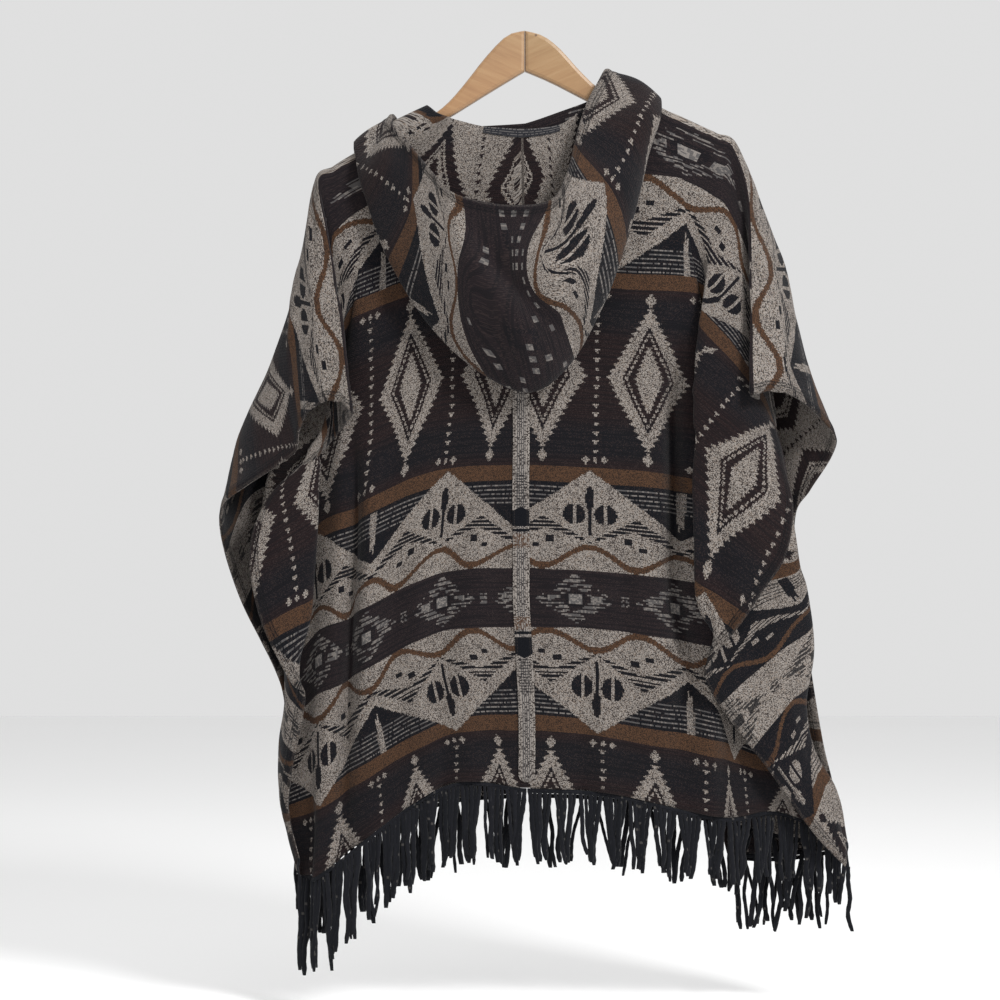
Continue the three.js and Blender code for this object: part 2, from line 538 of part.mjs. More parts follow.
function fromManifold(solid) {
  const mesh = solid.getMesh();
  const geometry = new THREE.BufferGeometry();
  geometry.setAttribute('position', new THREE.BufferAttribute(new Float32Array(mesh.vertProperties), 3));
  geometry.setIndex([...mesh.triVerts]);
  geometry.computeVertexNormals();
  return geometry;
}

// A three-sided strand through three points, closed at both ends.
function strand(spine, radius, twist) {
  const position = [];
  for (const [i, p] of spine.entries()) {
    const r = radius * (i === spine.length - 1 ? 0.7 : 1);
    for (let k = 0; k < STRAND_SIDES; k += 1) {
      const angle = twist + (k * 2 * Math.PI) / STRAND_SIDES;
      position.push(p.x + r * Math.cos(angle), p.y + r * Math.sin(angle), p.z);
    }
  }
  const index = [0, 1, 2];
  for (let i = 0; i + 1 < spine.length; i += 1) {
    for (let k = 0; k < STRAND_SIDES; k += 1) {
      const a = i * STRAND_SIDES + k;
      const b = i * STRAND_SIDES + ((k + 1) % STRAND_SIDES);
      index.push(a, a + STRAND_SIDES, b + STRAND_SIDES, a, b + STRAND_SIDES, b);
    }
  }
  const end = (spine.length - 1) * STRAND_SIDES;
  index.push(end, end + 2, end + 1);
  const geometry = new THREE.BufferGeometry();
  geometry.setAttribute('position', new THREE.Float32BufferAttribute(position, 3));
  geometry.setIndex(index);
  return geometry;
}

// A strand is left out where it would hang onto a lower stretch of the same hem.
function overLowerHem(p, line) {
  return line.some((q) => q.p.z < p.z - 3 && Math.hypot(q.p.x - p.x, q.p.y - p.y) < STRAND_ROOM);
}

// A narrow strip just below the hem with its strands, drawn together in clumps.
function fringe(rows, side, sign, count, lengthAt) {
  const line = hemLine(rows, side, sign);
  const top = SEAM_GAP * 2.5;
  const points = line.flatMap(({ p, downCloth }) => [
    p.clone().addScaledVector(downCloth, top),
    p.clone().addScaledVector(downCloth, top + FRINGE.stripHeight),
  ]);
  const flip = sign * side > 0;
  const faces = netFaces(line.length, 2).map(([a, b, c]) => (flip ? [a, b, c] : [a, c, b]));
  let solid = toManifold(clothWall(points, faces, FRINGE.stripThickness));
  const places = strandPlaces(line, count).filter(({ p }) => !overLowerHem(p, line));
  places.forEach(({ p, downCloth }, i) => {
    const middle = Math.min(places.length - 1, Math.floor(i / FRINGE.clump) * FRINGE.clump + FRINGE.clump / 2);
    const centre = places[Math.floor(middle)].p;
    const length = lengthAt(p.x) * (1 + 0.09 * scatter(i, sign));
    const root = p.clone().addScaledVector(downCloth, top + FRINGE.stripHeight * 0.6);
    const lean = (centre.x - p.x) * FRINGE.pull + 3 * scatter(i, 3);
    const bend = root.clone().add(new THREE.Vector3(lean * 0.6, 1.5 * scatter(i, 5), -length * 0.5));
    const tip = root.clone().add(new THREE.Vector3(lean, 2.5 * scatter(i, 7), -length));
    solid = solid.add(toManifold(strand([root, bend, tip], FRINGE.radius, i)));
  });
  const clearance = toManifold(panelWall(rows, side, CLOTH + 4 * SEAM_GAP));
  const parts = solid.subtract(clearance).decompose();
  parts.sort((a, b) => b.volume() - a.volume());
  return fromManifold(parts[0]);
}

// ---------------------------------------------------------------- hanger
// Each arm is half of a flat board, from the middle out to the rounded tip.
const ARM_RIGHT = {
  upper: [[543, 33], [560, 46], [580, 68], [601, 86.8], [636, 100.4], [672, 113.6], [702, 127],
    [718, 134.8], [729, 141]],
  tip: [[733, 147], [732, 154], [725, 157]],
  lower: [[700, 146], [660, 130], [610, 110], [582, 96], [551, 80]],
};
const ARM_LEFT = {
  upper: [[507, 33], [486, 54], [464, 82], [446, 102], [427, 115.4], [375, 142.9], [346, 159.2],
    [332, 168.4]],
  tip: [[325, 175], [324, 183], [330, 187]],
  lower: [[352, 174], [390, 152], [427, 128], [453, 113], [490, 90]],
};
const ARM_MIDDLE = { top: 28, bottom: 69, gap: 0.3 };
const BEVEL = 3.5;

function hangerArm(arm, side) {
  const joint = HANG.x + (side * ARM_MIDDLE.gap) / 2;
  const outline = [
    [joint, ARM_MIDDLE.top], ...arm.upper, ...arm.tip, ...arm.lower, [joint, ARM_MIDDLE.bottom],
  ].map(([x, down]) => new THREE.Vector2(x - HANG.x, HANG.down - down));
  const curve = new THREE.SplineCurve(outline);
  const rim = curve.getPoints(44);
  const shape = new THREE.Shape(rim);
  const geometry = new THREE.ExtrudeGeometry(shape, {
    depth: BOARD - 2 * BEVEL,
    bevelEnabled: true,
    bevelThickness: BEVEL,
    bevelSize: BEVEL,
    bevelOffset: -BEVEL,
    bevelSegments: 2,
    curveSegments: 1,
  });
  geometry.translate(0, 0, -(BOARD - 2 * BEVEL) / 2);
  geometry.rotateX(Math.PI / 2);
  return geometry;
}

// ---------------------------------------------------------------- assembly
const CLOTH_COLOR = 0x4a423f;
const TRIM_COLOR = 0x6b625a;
const FRINGE_COLOR = 0x1c1e24;
const WOOD_COLOR = 0xd7b287;
const cape = new THREE.Group();

function add(name, geometry, color, roughness) {
  const material = new THREE.MeshStandardMaterial({ color, roughness, metalness: 0 });
  const mesh = new THREE.Mesh(geometry, material);
  mesh.name = name;
  cape.add(mesh);
}

const rightRows = withShoulderRows(RIGHT_ROWS);
const leftRows = withShoulderRows(LEFT_ROWS);

add('panel_right', panelWall(rightRows, 1), CLOTH_COLOR, 0.95);
add('panel_left', panelWall(leftRows, -1), CLOTH_COLOR, 0.95);
add('hood', hoodWall(), CLOTH_COLOR, 0.95);
add('neck_tape', neckTape(), TRIM_COLOR, 0.9);
add('back_strip', backStrip(rightRows), TRIM_COLOR, 0.9);
add('hanger_right', hangerArm(ARM_RIGHT, 1), WOOD_COLOR, 0.5);
add('hanger_left', hangerArm(ARM_LEFT, -1), WOOD_COLOR, 0.5);

const leftLength = (x) => FRINGE_LENGTH - 10 + Math.max(0, (-x - 100) * 0.16);
const rightLength = (x) => FRINGE_LENGTH - 12 - Math.min(1, Math.max(0, x / 150)) * 8;
add('fringe_back_right', fringe(rightRows, 1, 1, 40, rightLength), FRINGE_COLOR, 0.9);
add('fringe_back_left', fringe(leftRows, -1, 1, 36, leftLength), FRINGE_COLOR, 0.9);
add('fringe_front_right', fringe(rightRows, 1, -1, 28, () => FRINGE_LENGTH - 14), FRINGE_COLOR, 0.9);
add('fringe_front_left', fringe(leftRows, -1, -1, 28, () => FRINGE_LENGTH - 14), FRINGE_COLOR, 0.9);

export default cape;
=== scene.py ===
"""Hooded cape of jacquard wool on a wooden hanger, seen from its back."""
import math

import bmesh
import bpy
import numpy as np
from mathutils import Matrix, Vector


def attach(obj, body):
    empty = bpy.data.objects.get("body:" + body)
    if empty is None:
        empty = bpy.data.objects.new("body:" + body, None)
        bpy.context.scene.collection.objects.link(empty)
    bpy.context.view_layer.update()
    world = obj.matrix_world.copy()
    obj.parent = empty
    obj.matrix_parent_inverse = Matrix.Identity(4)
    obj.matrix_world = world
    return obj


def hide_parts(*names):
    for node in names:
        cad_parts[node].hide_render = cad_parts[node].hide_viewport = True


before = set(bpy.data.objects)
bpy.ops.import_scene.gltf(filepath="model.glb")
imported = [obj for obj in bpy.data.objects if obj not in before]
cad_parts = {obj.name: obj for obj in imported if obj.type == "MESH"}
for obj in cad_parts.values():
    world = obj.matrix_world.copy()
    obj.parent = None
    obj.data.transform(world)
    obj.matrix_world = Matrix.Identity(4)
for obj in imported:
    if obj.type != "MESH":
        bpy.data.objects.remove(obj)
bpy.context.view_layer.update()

# The same sheet, names and sizes as in part.mjs: millimetres, "down" from the sheet's top,
# "out" towards the back of the cape. HANG is the hang point, the model's origin.
HANG = (525, 28)
CLOTH = 2.2
SEAM_GAP = 0.3
BACK_LENGTH = 690
NECK_DEPTH_BACK, NECK_DEPTH_FRONT = 22, 84
NECK_STOP, NECK_DROP, NECK_SQUARENESS = 0.985, 7, 6
FRINGE_LENGTH = 82
CREST, FOLD, COLUMNS = 2, 6, 10        # places in a row: the crest and the fold of ten columns

# Rows of the half panels: distance from the shoulder along the cloth, above 0 on the back,
# then [x, down, out] for the seam, neck, crest, bay, turn, flap, fold, pleat, lap and edge.
RIGHT_ROWS = [
  (690, [[527, 788, 15], [608, 793, 16], [720, 817, 15], [778, 813, 4], [843, 838, 2],
    [845, 845, 9], [846, 851, 15], [846, 857, 18], [846, 862, 20], [845, 866, 22]]),
  (650, [[527, 748, 16], [606, 754, 17], [714, 776, 16], [766, 786, 5], [834, 792, 4],
    [833, 803, 11], [830, 814, 16], [826, 824, 19], [822, 832, 21], [818, 838, 23]]),
  (600, [[526, 699, 17], [606, 706, 17], [707, 722, 17], [757, 742, 3], [812, 750, 3],
    [810, 764, 13], [805, 776, 19], [801, 788, 22], [797, 797, 24], [793, 805, 26]]),
  (545, [[524, 645, 17], [605, 650, 18], [701, 666, 17], [751, 684, 1], [805, 704, 2],
    [796, 718, 17], [788, 730, 22], [780, 742, 25], [772, 754, 27], [765, 765, 28]]),
  (495, [[521, 597, 18], [605, 600, 18], [697, 612, 17], [750, 630, 0], [814, 650, 2],
    [785, 674, 22], [770, 688, 24], [757, 700, 26], [745, 712, 28], [733, 724, 30]]),
  (440, [[521, 542, 18], [605, 546, 19], [695, 558, 17], [748, 575, 0], [810, 602, 3],
    [775, 630, 24], [752, 648, 27], [734, 662, 30], [720, 674, 32], [708, 686, 33]]),
  (410, [[521, 513, 18], [605, 517, 19], [694, 528, 17], [746, 548, 0], [806, 584, 4],
    [762, 613, 26], [736, 634, 30], [722, 646, 33], [712, 655, 35], [706, 664, 36]]),
  (375, [[521, 479, 18], [605, 483, 19], [693, 493, 17], [744, 512, 1], [801, 566, 5],
    [750, 584, 26], [700, 602, 38], [711, 612, 45], [723, 620, 46], [735, 628, 44]]),
  (340, [[521, 444, 18], [605, 448, 19], [692, 458, 17], [742, 476, 1], [797, 540, 5],
    [746, 540, 26], [696, 541, 39], [720, 562, 49], [742, 578, 50], [759, 592, 46]]),
  (300, [[521, 404, 18], [605, 408, 19], [692, 418, 17], [740, 434, 1], [790, 497, 6],
    [741, 486, 26], [694, 478, 39], [728, 510, 50], [760, 538, 50], [783, 556, 44]]),
  (265, [[522, 369, 18], [605, 373, 19], [692, 382, 17], [735, 394, 2], [780, 440, 7],
    [736, 432, 26], [693, 430, 39], [730, 464, 50], [768, 490, 48], [791, 508, 38]]),
  (230, [[522, 334, 18], [605, 338, 19], [692, 347, 17], [722, 354, 4], [757, 382, 9],
    [726, 384, 25], [694, 388, 38], [728, 420, 48], [764, 450, 44], [783, 470, 34]]),
  (185, [[523, 289, 17], [604, 294, 18], [689, 300, 17], [704, 305, 8], [722, 318, 11],
    [712, 326, 23], [698, 335, 34], [730, 370, 42], [760, 406, 34], [776, 434, 26]]),
  (130, [[524, 235, 16], [603, 240, 17], [680, 244, 17], [691, 249, 14], [701, 256, 15],
    [707, 266, 21], [710, 279, 28], [738, 318, 33], [760, 370, 24], [775, 424, 20]]),
  (85, [[525, 190, 15], [602, 190, 15], [673, 192, 15], [686, 196, 15], [699, 202, 16],
    [712, 211, 18], [725, 224, 20], [747, 270, 22], [762, 345, 14], [772, 412, 14]]),
  (45, [[525, 149, 13], [602, 134, 13], [672, 151, 13], [686, 156, 13], [701, 162, 13],
    [716, 170, 13], [731, 182, 13], [748, 236, 14], [757, 320, 14], [764, 402, 20]]),
  (15, [[525, 117, 10], [601, 96, 10], [672, 122, 10], [686, 128, 10], [702, 135, 10],
    [718, 142, 10], [734, 153, 11], [748, 206, 24], [747, 302, 44], [748, 397, 60]]),
  (0, [[525, 106, 0], [601, 83.5, 0], [672, 111, 0], [686, 117, 0], [702, 124.5, 0],
    [718, 132, 0], [738, 143, 0], [756, 206, 19], [762, 302, 40], [765, 392, 56]]),
  (-15, [[525, 117, -10], [601, 96, -10], [672, 122, -10], [686, 128, -10],
    [702, 135, -10], [718, 142, -10], [741, 153, -9], [766, 216, 6], [777, 304, 30],
    [786, 395, 50]]),
  (-60, [[525, 162, -13], [601, 142, -13], [672, 166, -13], [686, 172, -13],
    [702, 178, -13], [718, 184, -14], [744, 196, -13], [776, 242, -4], [795, 322, 16],
    [808, 408, 38]]),
  (-105, [[526, 208, -15], [602, 192, -15], [673, 212, -15], [688, 218, -16],
    [703, 224, -17], [720, 232, -19], [744, 246, -22], [776, 284, -18], [804, 358, -4],
    [834, 434, 18]]),
  (-150, [[527, 254, -16], [602, 242, -17], [674, 258, -18], [692, 264, -22],
    [710, 272, -25], [726, 282, -29], [746, 298, -32], [768, 326, -30], [798, 386, -20],
    [833, 456, 4]]),
  (-205, [[528, 310, -17], [603, 300, -18], [678, 316, -19], [700, 322, -26],
    [724, 334, -28], [724, 344, -38], [730, 356, -44], [756, 384, -42], [784, 428, -28],
    [812, 490, -1]]),
  (-260, [[529, 366, -18], [604, 358, -19], [684, 372, -19], [716, 380, -28],
    [752, 402, -30], [726, 410, -42], [714, 420, -52], [740, 442, -54], [770, 474, -40],
    [797, 518, -8]]),
  (-340, [[530, 446, -18], [605, 440, -19], [690, 455, -19], [730, 470, -29],
    [774, 510, -30], [734, 514, -43], [704, 520, -54], [738, 538, -58], [774, 562, -46],
    [801, 590, -18]]),
  (-440, [[531, 546, -18], [606, 542, -19], [692, 558, -19], [738, 576, -28],
    [790, 612, -28], [742, 618, -42], [700, 626, -54], [738, 642, -58], [780, 652, -44],
    [812, 655, -20]]),
  (-545, [[531, 652, -17], [606, 650, -18], [696, 668, -18], [746, 690, -26],
    [806, 712, -24], [752, 724, -38], [706, 730, -50], [744, 742, -52], [790, 740, -40],
    [826, 742, -18]]),
  (-620, [[531, 728, -16], [606, 728, -17], [704, 750, -17], [754, 766, -22],
    [818, 782, -20], [764, 796, -34], [718, 800, -44], [756, 808, -46], [800, 802, -36],
    [838, 796, -16]]),
  (-690, [[531, 796, -15], [606, 800, -16], [716, 822, -16], [764, 834, -20],
    [824, 848, -18], [776, 858, -30], [732, 860, -38], [768, 864, -40], [808, 860, -32],
    [841, 852, -14]]),
]

LEFT_ROWS = [
  (690, [[527, 788, 15], [442, 787, 15], [326, 870, 16], [312, 876, 4], [300, 878, -5],
    [297, 874, 0], [296, 870, 4], [296, 866, 8], [297, 862, 12], [298, 858, 15]]),
  (650, [[527, 748, 16], [440, 754, 17], [330, 822, 17], [313, 832, 2], [292, 836, -6],
    [289, 836, 0], [288, 835, 5], [288, 834, 9], [289, 832, 13], [291, 830, 16]]),
  (600, [[526, 699, 17], [439, 708, 17], [334, 768, 18], [313, 782, 0], [282, 796, -7],
    [280, 799, 0], [280, 801, 6], [282, 803, 11], [285, 804, 15], [288, 805, 18]]),
  (545, [[524, 645, 17], [438, 653, 18], [340, 706, 18], [314, 722, 0], [281, 744, -8],
    [279, 750, 0], [281, 756, 8], [284, 761, 14], [288, 765, 18], [292, 768, 20]]),
  (495, [[521, 597, 18], [437, 603, 18], [346, 648, 18], [315, 665, -1], [284, 700, -8],
    [283, 708, 2], [286, 716, 11], [290, 722, 17], [295, 727, 20], [300, 731, 22]]),
  (440, [[521, 542, 18], [437, 548, 19], [350, 590, 18], [316, 610, -2], [282, 652, -8],
    [285, 664, 4], [290, 676, 14], [295, 683, 20], [300, 689, 24], [305, 694, 26]]),
  (410, [[521, 513, 18], [437, 519, 19], [352, 558, 18], [317, 580, -2], [278, 622, -8],
    [286, 638, 6], [297, 656, 19], [299, 667, 26], [297, 676, 30], [293, 683, 32]]),
  (375, [[521, 479, 18], [437, 485, 19], [353, 521, 18], [317, 540, -2], [272, 584, -8],
    [290, 598, 8], [311, 614, 26], [297, 624, 35], [283, 632, 39], [271, 640, 40]]),
  (340, [[521, 444, 18], [437, 450, 19], [354, 484, 18], [318, 503, -2], [268, 548, -8],
    [290, 556, 9], [314, 571, 28], [294, 584, 38], [275, 596, 42], [259, 606, 43]]),
  (300, [[521, 404, 18], [437, 410, 19], [355, 442, 18], [320, 460, -2], [262, 505, -8],
    [290, 512, 9], [317, 523, 28], [294, 540, 38], [271, 553, 43], [252, 565, 44]]),
  (265, [[522, 369, 18], [437, 375, 18], [356, 406, 18], [323, 422, -1], [272, 462, -7],
    [297, 470, 9], [319, 482, 27], [297, 498, 36], [275, 513, 40], [256, 527, 41]]),
  (230, [[522, 334, 18], [437, 340, 18], [358, 370, 17], [333, 384, 1], [300, 420, -4],
    [312, 432, 8], [322, 446, 22], [308, 462, 30], [292, 476, 34], [277, 488, 36]]),
  (185, [[523, 289, 17], [436, 295, 18], [362, 322, 17], [348, 332, 7], [334, 352, 2],
    [330, 374, 6], [328, 402, 14], [324, 424, 20], [319, 442, 25], [314, 460, 28]]),
  (130, [[524, 235, 16], [435, 241, 17], [368, 264, 16], [358, 271, 14], [350, 281, 13],
    [345, 293, 12], [342, 309, 12], [335, 352, 13], [330, 402, 16], [325, 448, 22]]),
  (85, [[525, 190, 15], [432, 196, 15], [373, 216, 15], [361, 222, 15], [350, 230, 15],
    [341, 240, 14], [334, 254, 13], [333, 302, 12], [334, 370, 14], [336, 436, 20]]),
  (45, [[525, 149, 13], [428, 157, 13], [375, 180, 13], [361, 187, 13], [348, 194, 13],
    [336, 203, 13], [326, 216, 13], [329, 272, 14], [337, 348, 18], [345, 424, 27]]),
  (15, [[525, 117, 10], [427, 125.5, 10], [375, 152, 10], [360, 160, 10],
    [346, 167.5, 10], [333, 175, 10], [319, 185, 11], [330, 246, 24], [344, 326, 40],
    [353, 414, 54]]),
  (0, [[525, 106, 0], [427, 113, 0], [375, 140.5, 0], [360, 148.5, 0], [346, 156.5, 0],
    [332, 165.5, 0], [315, 178, 1], [318, 240, 22], [331, 322, 40], [343, 403, 52]]),
  (-15, [[525, 117, -10], [427, 125.5, -10], [375, 152, -10], [360, 160, -10],
    [346, 167.5, -10], [332, 176, -10], [312, 188, -7], [308, 242, 17], [316, 322, 37],
    [327, 402, 50]]),
  (-60, [[525, 162, -13], [427, 170, -13], [374, 196, -13], [359, 204, -13],
    [345, 211, -13], [331, 219, -13], [309, 228, -9], [300, 262, 8], [302, 335, 31],
    [309, 414, 47]]),
  (-105, [[524, 208, -15], [427, 216, -15], [373, 242, -15], [358, 250, -16],
    [344, 258, -17], [330, 264, -17], [307, 268, -14], [292, 292, 0], [288, 354, 23],
    [300, 433, 43]]),
  (-150, [[523, 254, -16], [427, 262, -17], [372, 288, -18], [357, 296, -20],
    [344, 302, -22], [328, 306, -23], [306, 306, -20], [286, 320, -6], [276, 372, 18],
    [297, 452, 44]]),
  (-205, [[522, 310, -17], [427, 318, -18], [370, 342, -19], [354, 350, -24],
    [340, 352, -29], [324, 350, -31], [302, 344, -28], [278, 350, -12], [262, 394, 13],
    [276, 468, 48]]),
  (-260, [[521, 366, -18], [427, 374, -19], [368, 396, -19], [348, 404, -28],
    [330, 406, -34], [316, 400, -38], [296, 388, -36], [270, 384, -20], [246, 418, 6],
    [248, 486, 48]]),
  (-310, [[521, 416, -18], [428, 424, -19], [366, 446, -19], [342, 454, -30],
    [320, 452, -36], [310, 442, -42], [294, 428, -42], [264, 416, -28], [237, 442, -6],
    [224, 506, 34]]),
  (-370, [[520, 476, -18], [428, 484, -19], [362, 506, -19], [332, 514, -30],
    [304, 512, -36], [312, 502, -46], [306, 490, -50], [272, 470, -40], [240, 488, -22],
    [222, 542, 6]]),
  (-440, [[520, 546, -18], [428, 554, -19], [358, 576, -19], [320, 588, -28],
    [280, 592, -34], [306, 584, -46], [322, 574, -54], [286, 562, -48], [256, 570, -32],
    [240, 604, -10]]),
  (-545, [[520, 652, -17], [430, 660, -18], [350, 690, -18], [314, 706, -24],
    [288, 716, -28], [312, 712, -40], [336, 706, -48], [310, 694, -46], [292, 690, -34],
    [280, 690, -16]]),
  (-620, [[520, 728, -16], [432, 736, -17], [346, 772, -17], [314, 788, -22],
    [290, 796, -24], [314, 792, -34], [338, 786, -43],
    [314, 776, -48], [294, 770, -38], [282, 764, -20]]),
  (-690, [[520, 796, -15], [436, 806, -16], [342, 852, -16], [316, 866, -18],
    [298, 872, -18], [314, 868, -29], [328, 862, -38],
    [316, 854, -48], [302, 846, -42], [291, 838, -22]]),
]

HOOD_COLUMNS = [
  ([520, 193, -19], [512, 198, -24], [506, 201, -29], [513, 200, -33],
    [520, 197, -32]),
  ([478, 176, -19], [452, 180, -26], [436, 184, -34], [452, 178, -42],
    [470, 172, -38]),
  ([440, 142, -17], [404, 152, -24], [382, 158, -32], [394, 146, -38],
    [424, 132, -30]),
  ([427, 121, -13], [389, 141, -16], [357, 155, -17], [374, 140, -20],
    [404, 115, -17]),
  ([427, 105.5, 0], [388, 121.5, 0], [354, 140.5, 1], [370, 127, 3],
    [398, 103, -2]),
  ([429, 119, 13], [387, 141, 16], [357, 156, 17], [374, 142, 22],
    [393, 115, 12]),
  ([434, 121, 14], [392, 174, 18], [364, 190, 30], [380, 160, 40],
    [391, 124, 26]),
  ([455, 119, 14], [416, 218, 22], [385, 250, 38], [406, 206, 56],
    [410, 147, 44]),
  ([482, 126, 16], [455, 270, 25], [425, 320, 46], [436, 254, 74],
    [432, 175, 58]),
  ([503, 128, 17], [490, 312, 28], [478, 371, 50], [468, 290, 88],
    [456, 199, 70]),
  ([521, 129, 17], [524, 330, 28], [531, 392, 52], [514, 306, 94],
    [506, 211, 76]),
  ([541, 128, 17], [552, 304, 28], [573, 358, 50], [560, 290, 88],
    [550, 205, 70]),
  ([561, 124, 16], [580, 262, 26], [606, 297, 46], [592, 238, 74],
    [567, 174, 56]),
  ([579, 112, 14], [603, 212, 22], [630, 226, 38], [618, 182, 54],
    [576, 138, 40]),
  ([597, 97, 14], [622, 160, 18], [648, 158, 26], [640, 124, 34],
    [586, 106, 24]),
  ([600, 88, 13.5], [630, 103, 16], [659, 112, 16], [645, 94, 19],
    [598, 82, 12]),
  ([600, 76.5, 0], [632, 84.5, 0], [661, 97, 1], [640, 79, 3],
    [606, 68, -2]),
  ([600, 89, -14], [633, 103, -16], [658, 112, -17], [643, 98, -20],
    [606, 82, -16]),
  ([597, 118, -17], [634, 136, -24], [652, 146, -32], [630, 132, -38],
    [600, 112, -32]),
  ([566, 166, -19], [594, 174, -26], [610, 180, -34], [594, 172, -42],
    [574, 164, -38]),
  ([531, 193, -19], [540, 198, -24], [546, 201, -29], [539, 200, -33],
    [531, 197, -32]),
]


# ------------------------------------------------------------------ surfaces
def to_model(rows):
    """Sheet places to model places, both in millimetres."""
    a = np.asarray(rows, float)
    return np.stack([a[..., 0] - HANG[0], -a[..., 2], HANG[1] - a[..., 1]], -1)


def weights(s, count):
    """Catmull-Rom weights of count points for each parameter in s, straight past the ends."""
    s = np.asarray(s, float).ravel()
    i = np.clip(np.floor(s).astype(int), 0, count - 2)
    t = s - i
    w = 0.5 * np.stack([-t + 2 * t**2 - t**3, 2 - 5 * t**2 + 3 * t**3, t + 4 * t**2 - 3 * t**3, t**3 - t**2])
    m = np.zeros((len(s), count + 2))
    for k in range(4):
        m[np.arange(len(s)), i + k] += w[k]
    m[:, 1] += 2 * m[:, 0]
    m[:, 2] -= m[:, 0]
    m[:, -2] += 2 * m[:, -1]
    m[:, -3] -= m[:, -1]
    return m[:, 1:-1]


def with_shoulder_rows(rows):
    """One more row on each side of the shoulder line, where the cloth bends over the board."""
    ridge = next(i for i, (v, _) in enumerate(rows) if v == 0)

    def extra(other, v):
        at = []
        for c, (p, q) in enumerate(zip(rows[ridge][1], rows[other][1])):
            share = (0.4, 0.2, 0.7) if c <= FOLD else (0.4, 0.4, 0.4)
            at.append([p[k] + (q[k] - p[k]) * share[k] for k in range(3)])
        return (v, at)

    return rows[:ridge] + [extra(ridge - 1, 6), rows[ridge], extra(ridge + 1, -6)] + rows[ridge + 1:]


class Panel:
    """The smooth surface of a half panel: column parameter c, distance v along the cloth."""

    def __init__(self, rows):
        self.v = np.array([v for v, _ in rows], float)
        self.net = to_model([at for _, at in rows])

    def __call__(self, c, v):
        c, v = np.broadcast_arrays(np.asarray(c, float), np.asarray(v, float))
        shape = c.shape
        s = np.interp(-v.ravel(), -self.v, np.arange(len(self.v)))
        first, last = self.v[0], self.v[-1]
        s = np.where(v.ravel() > first, (first - v.ravel()) / (first - self.v[1]), s)
        s = np.where(v.ravel() < last, len(self.v) - 1 + (last - v.ravel()) / (self.v[-2] - last), s)
        p = np.einsum("nr,rck,nc->nk", weights(s, len(self.v)), self.net, weights(c, COLUMNS))
        return p.reshape(shape + (3,))


def neck_drop(c, depth):
    share = np.sqrt(1 - np.minimum(1, c / NECK_STOP) ** NECK_SQUARENESS)
    return np.where(c >= 1, 0, NECK_DROP + (depth - NECK_DROP) * share)


def smooth(a, b, x):
    t = np.clip((x - a) / (b - a), 0, 1)
    return t * t * (3 - 2 * t)


def grid_normals(p):
    """Unit normals of a grid of points, from its own neighbours."""
    du, dv = np.gradient(p, axis=1), np.gradient(p, axis=0)
    n = np.cross(du, dv)
    return n / np.maximum(np.linalg.norm(n, axis=-1, keepdims=True), 1e-9)


# ------------------------------------------------------------------ meshes
def mesh_object(name, points, faces):
    mesh = bpy.data.meshes.new(name)
    mesh.from_pydata((np.asarray(points) / 1000).tolist(), [], faces)
    mesh.validate()
    mesh.update()
    mesh.polygons.foreach_set("use_smooth", [True] * len(mesh.polygons))
    obj = bpy.data.objects.new(name, mesh)
    bpy.context.scene.collection.objects.link(obj)
    return obj


def set_uv(obj, name, values):
    """One place on the flat cloth for each vertex, in metres."""
    layer = obj.data.uv_layers.new(name=name)
    loops = np.empty(len(obj.data.loops), int)
    obj.data.loops.foreach_get("vertex_index", loops)
    layer.data.foreach_set("uv", (np.asarray(values)[loops] / 1000).ravel())


def set_number(obj, name, values):
    layer = obj.data.attributes.new(name, "FLOAT", "POINT")
    layer.data.foreach_set("value", np.asarray(values, float).ravel())


LIP = 0.45          # how far a rounded edge stands out past its last row of points, in mm


def shell(name, points, normals, quads, thickness, uv, edge):
    """A closed cloth wall: face side out along the normals (material 0), reverse (1)."""
    half = np.broadcast_to(np.asarray(thickness, float) / 2, (len(points),))[:, None]
    count = len(points)
    open_edges = {}                          # used as an ordered set
    for q in quads:
        for a, b in zip(q, q[1:] + q[:1]):
            if (b, a) in open_edges:
                del open_edges[(b, a)]
            else:
                open_edges[(a, b)] = True
    rim = {}
    for a, b in open_edges:
        for k in (a, b):
            rim.setdefault(k, []).append((a, b))
    # outer layer, inner layer, and a rounded lip round every open edge
    outer = points + normals * half
    inner = points - normals * half
    lip_ids = {k: 2 * count + i for i, k in enumerate(rim)}
    lip = []
    inward = np.zeros_like(points)
    seen = np.zeros(count)
    for q in quads:
        centre = points[list(q)].mean(0)
        for k in q:
            if k in rim:
                inward[k] += centre - points[k]
                seen[k] += 1
    for k in rim:
        d = -inward[k] / max(seen[k], 1)
        t = sum((points[b] - points[a] for a, b in rim[k]), np.zeros(3))
        t = t / max(np.linalg.norm(t), 1e-9)
        d = d - t * d.dot(t)
        d = d - normals[k] * d.dot(normals[k])
        lip.append(points[k] + d / max(np.linalg.norm(d), 1e-9) * LIP)
    all_points = np.concatenate([outer, inner, np.asarray(lip).reshape(-1, 3)])
    faces = [tuple(q) for q in quads]
    faces += [tuple(count + k for k in reversed(q)) for q in quads]
    for a, b in open_edges:
        la, lb = lip_ids[a], lip_ids[b]
        faces.append((b, a, la, lb))
        faces.append((lb, la, count + a, count + b))
    obj = mesh_object(name, all_points, faces)
    index = np.zeros(len(faces), int)
    index[len(quads):2 * len(quads)] = 1
    index[2 * len(quads) + 1::2] = 1
    obj.data.polygons.foreach_set("material_index", index)
    both = lambda a: np.concatenate([a, a, np.asarray(a)[list(rim)]])
    set_uv(obj, "cloth", both(uv))
    set_number(obj, "edge", both(edge))
    return obj


def grid_quads(ids):
    a, b, c, d = ids[:-1, :-1], ids[:-1, 1:], ids[1:, 1:], ids[1:, :-1]
    return np.stack([a, b, c, d], -1).reshape(-1, 4)


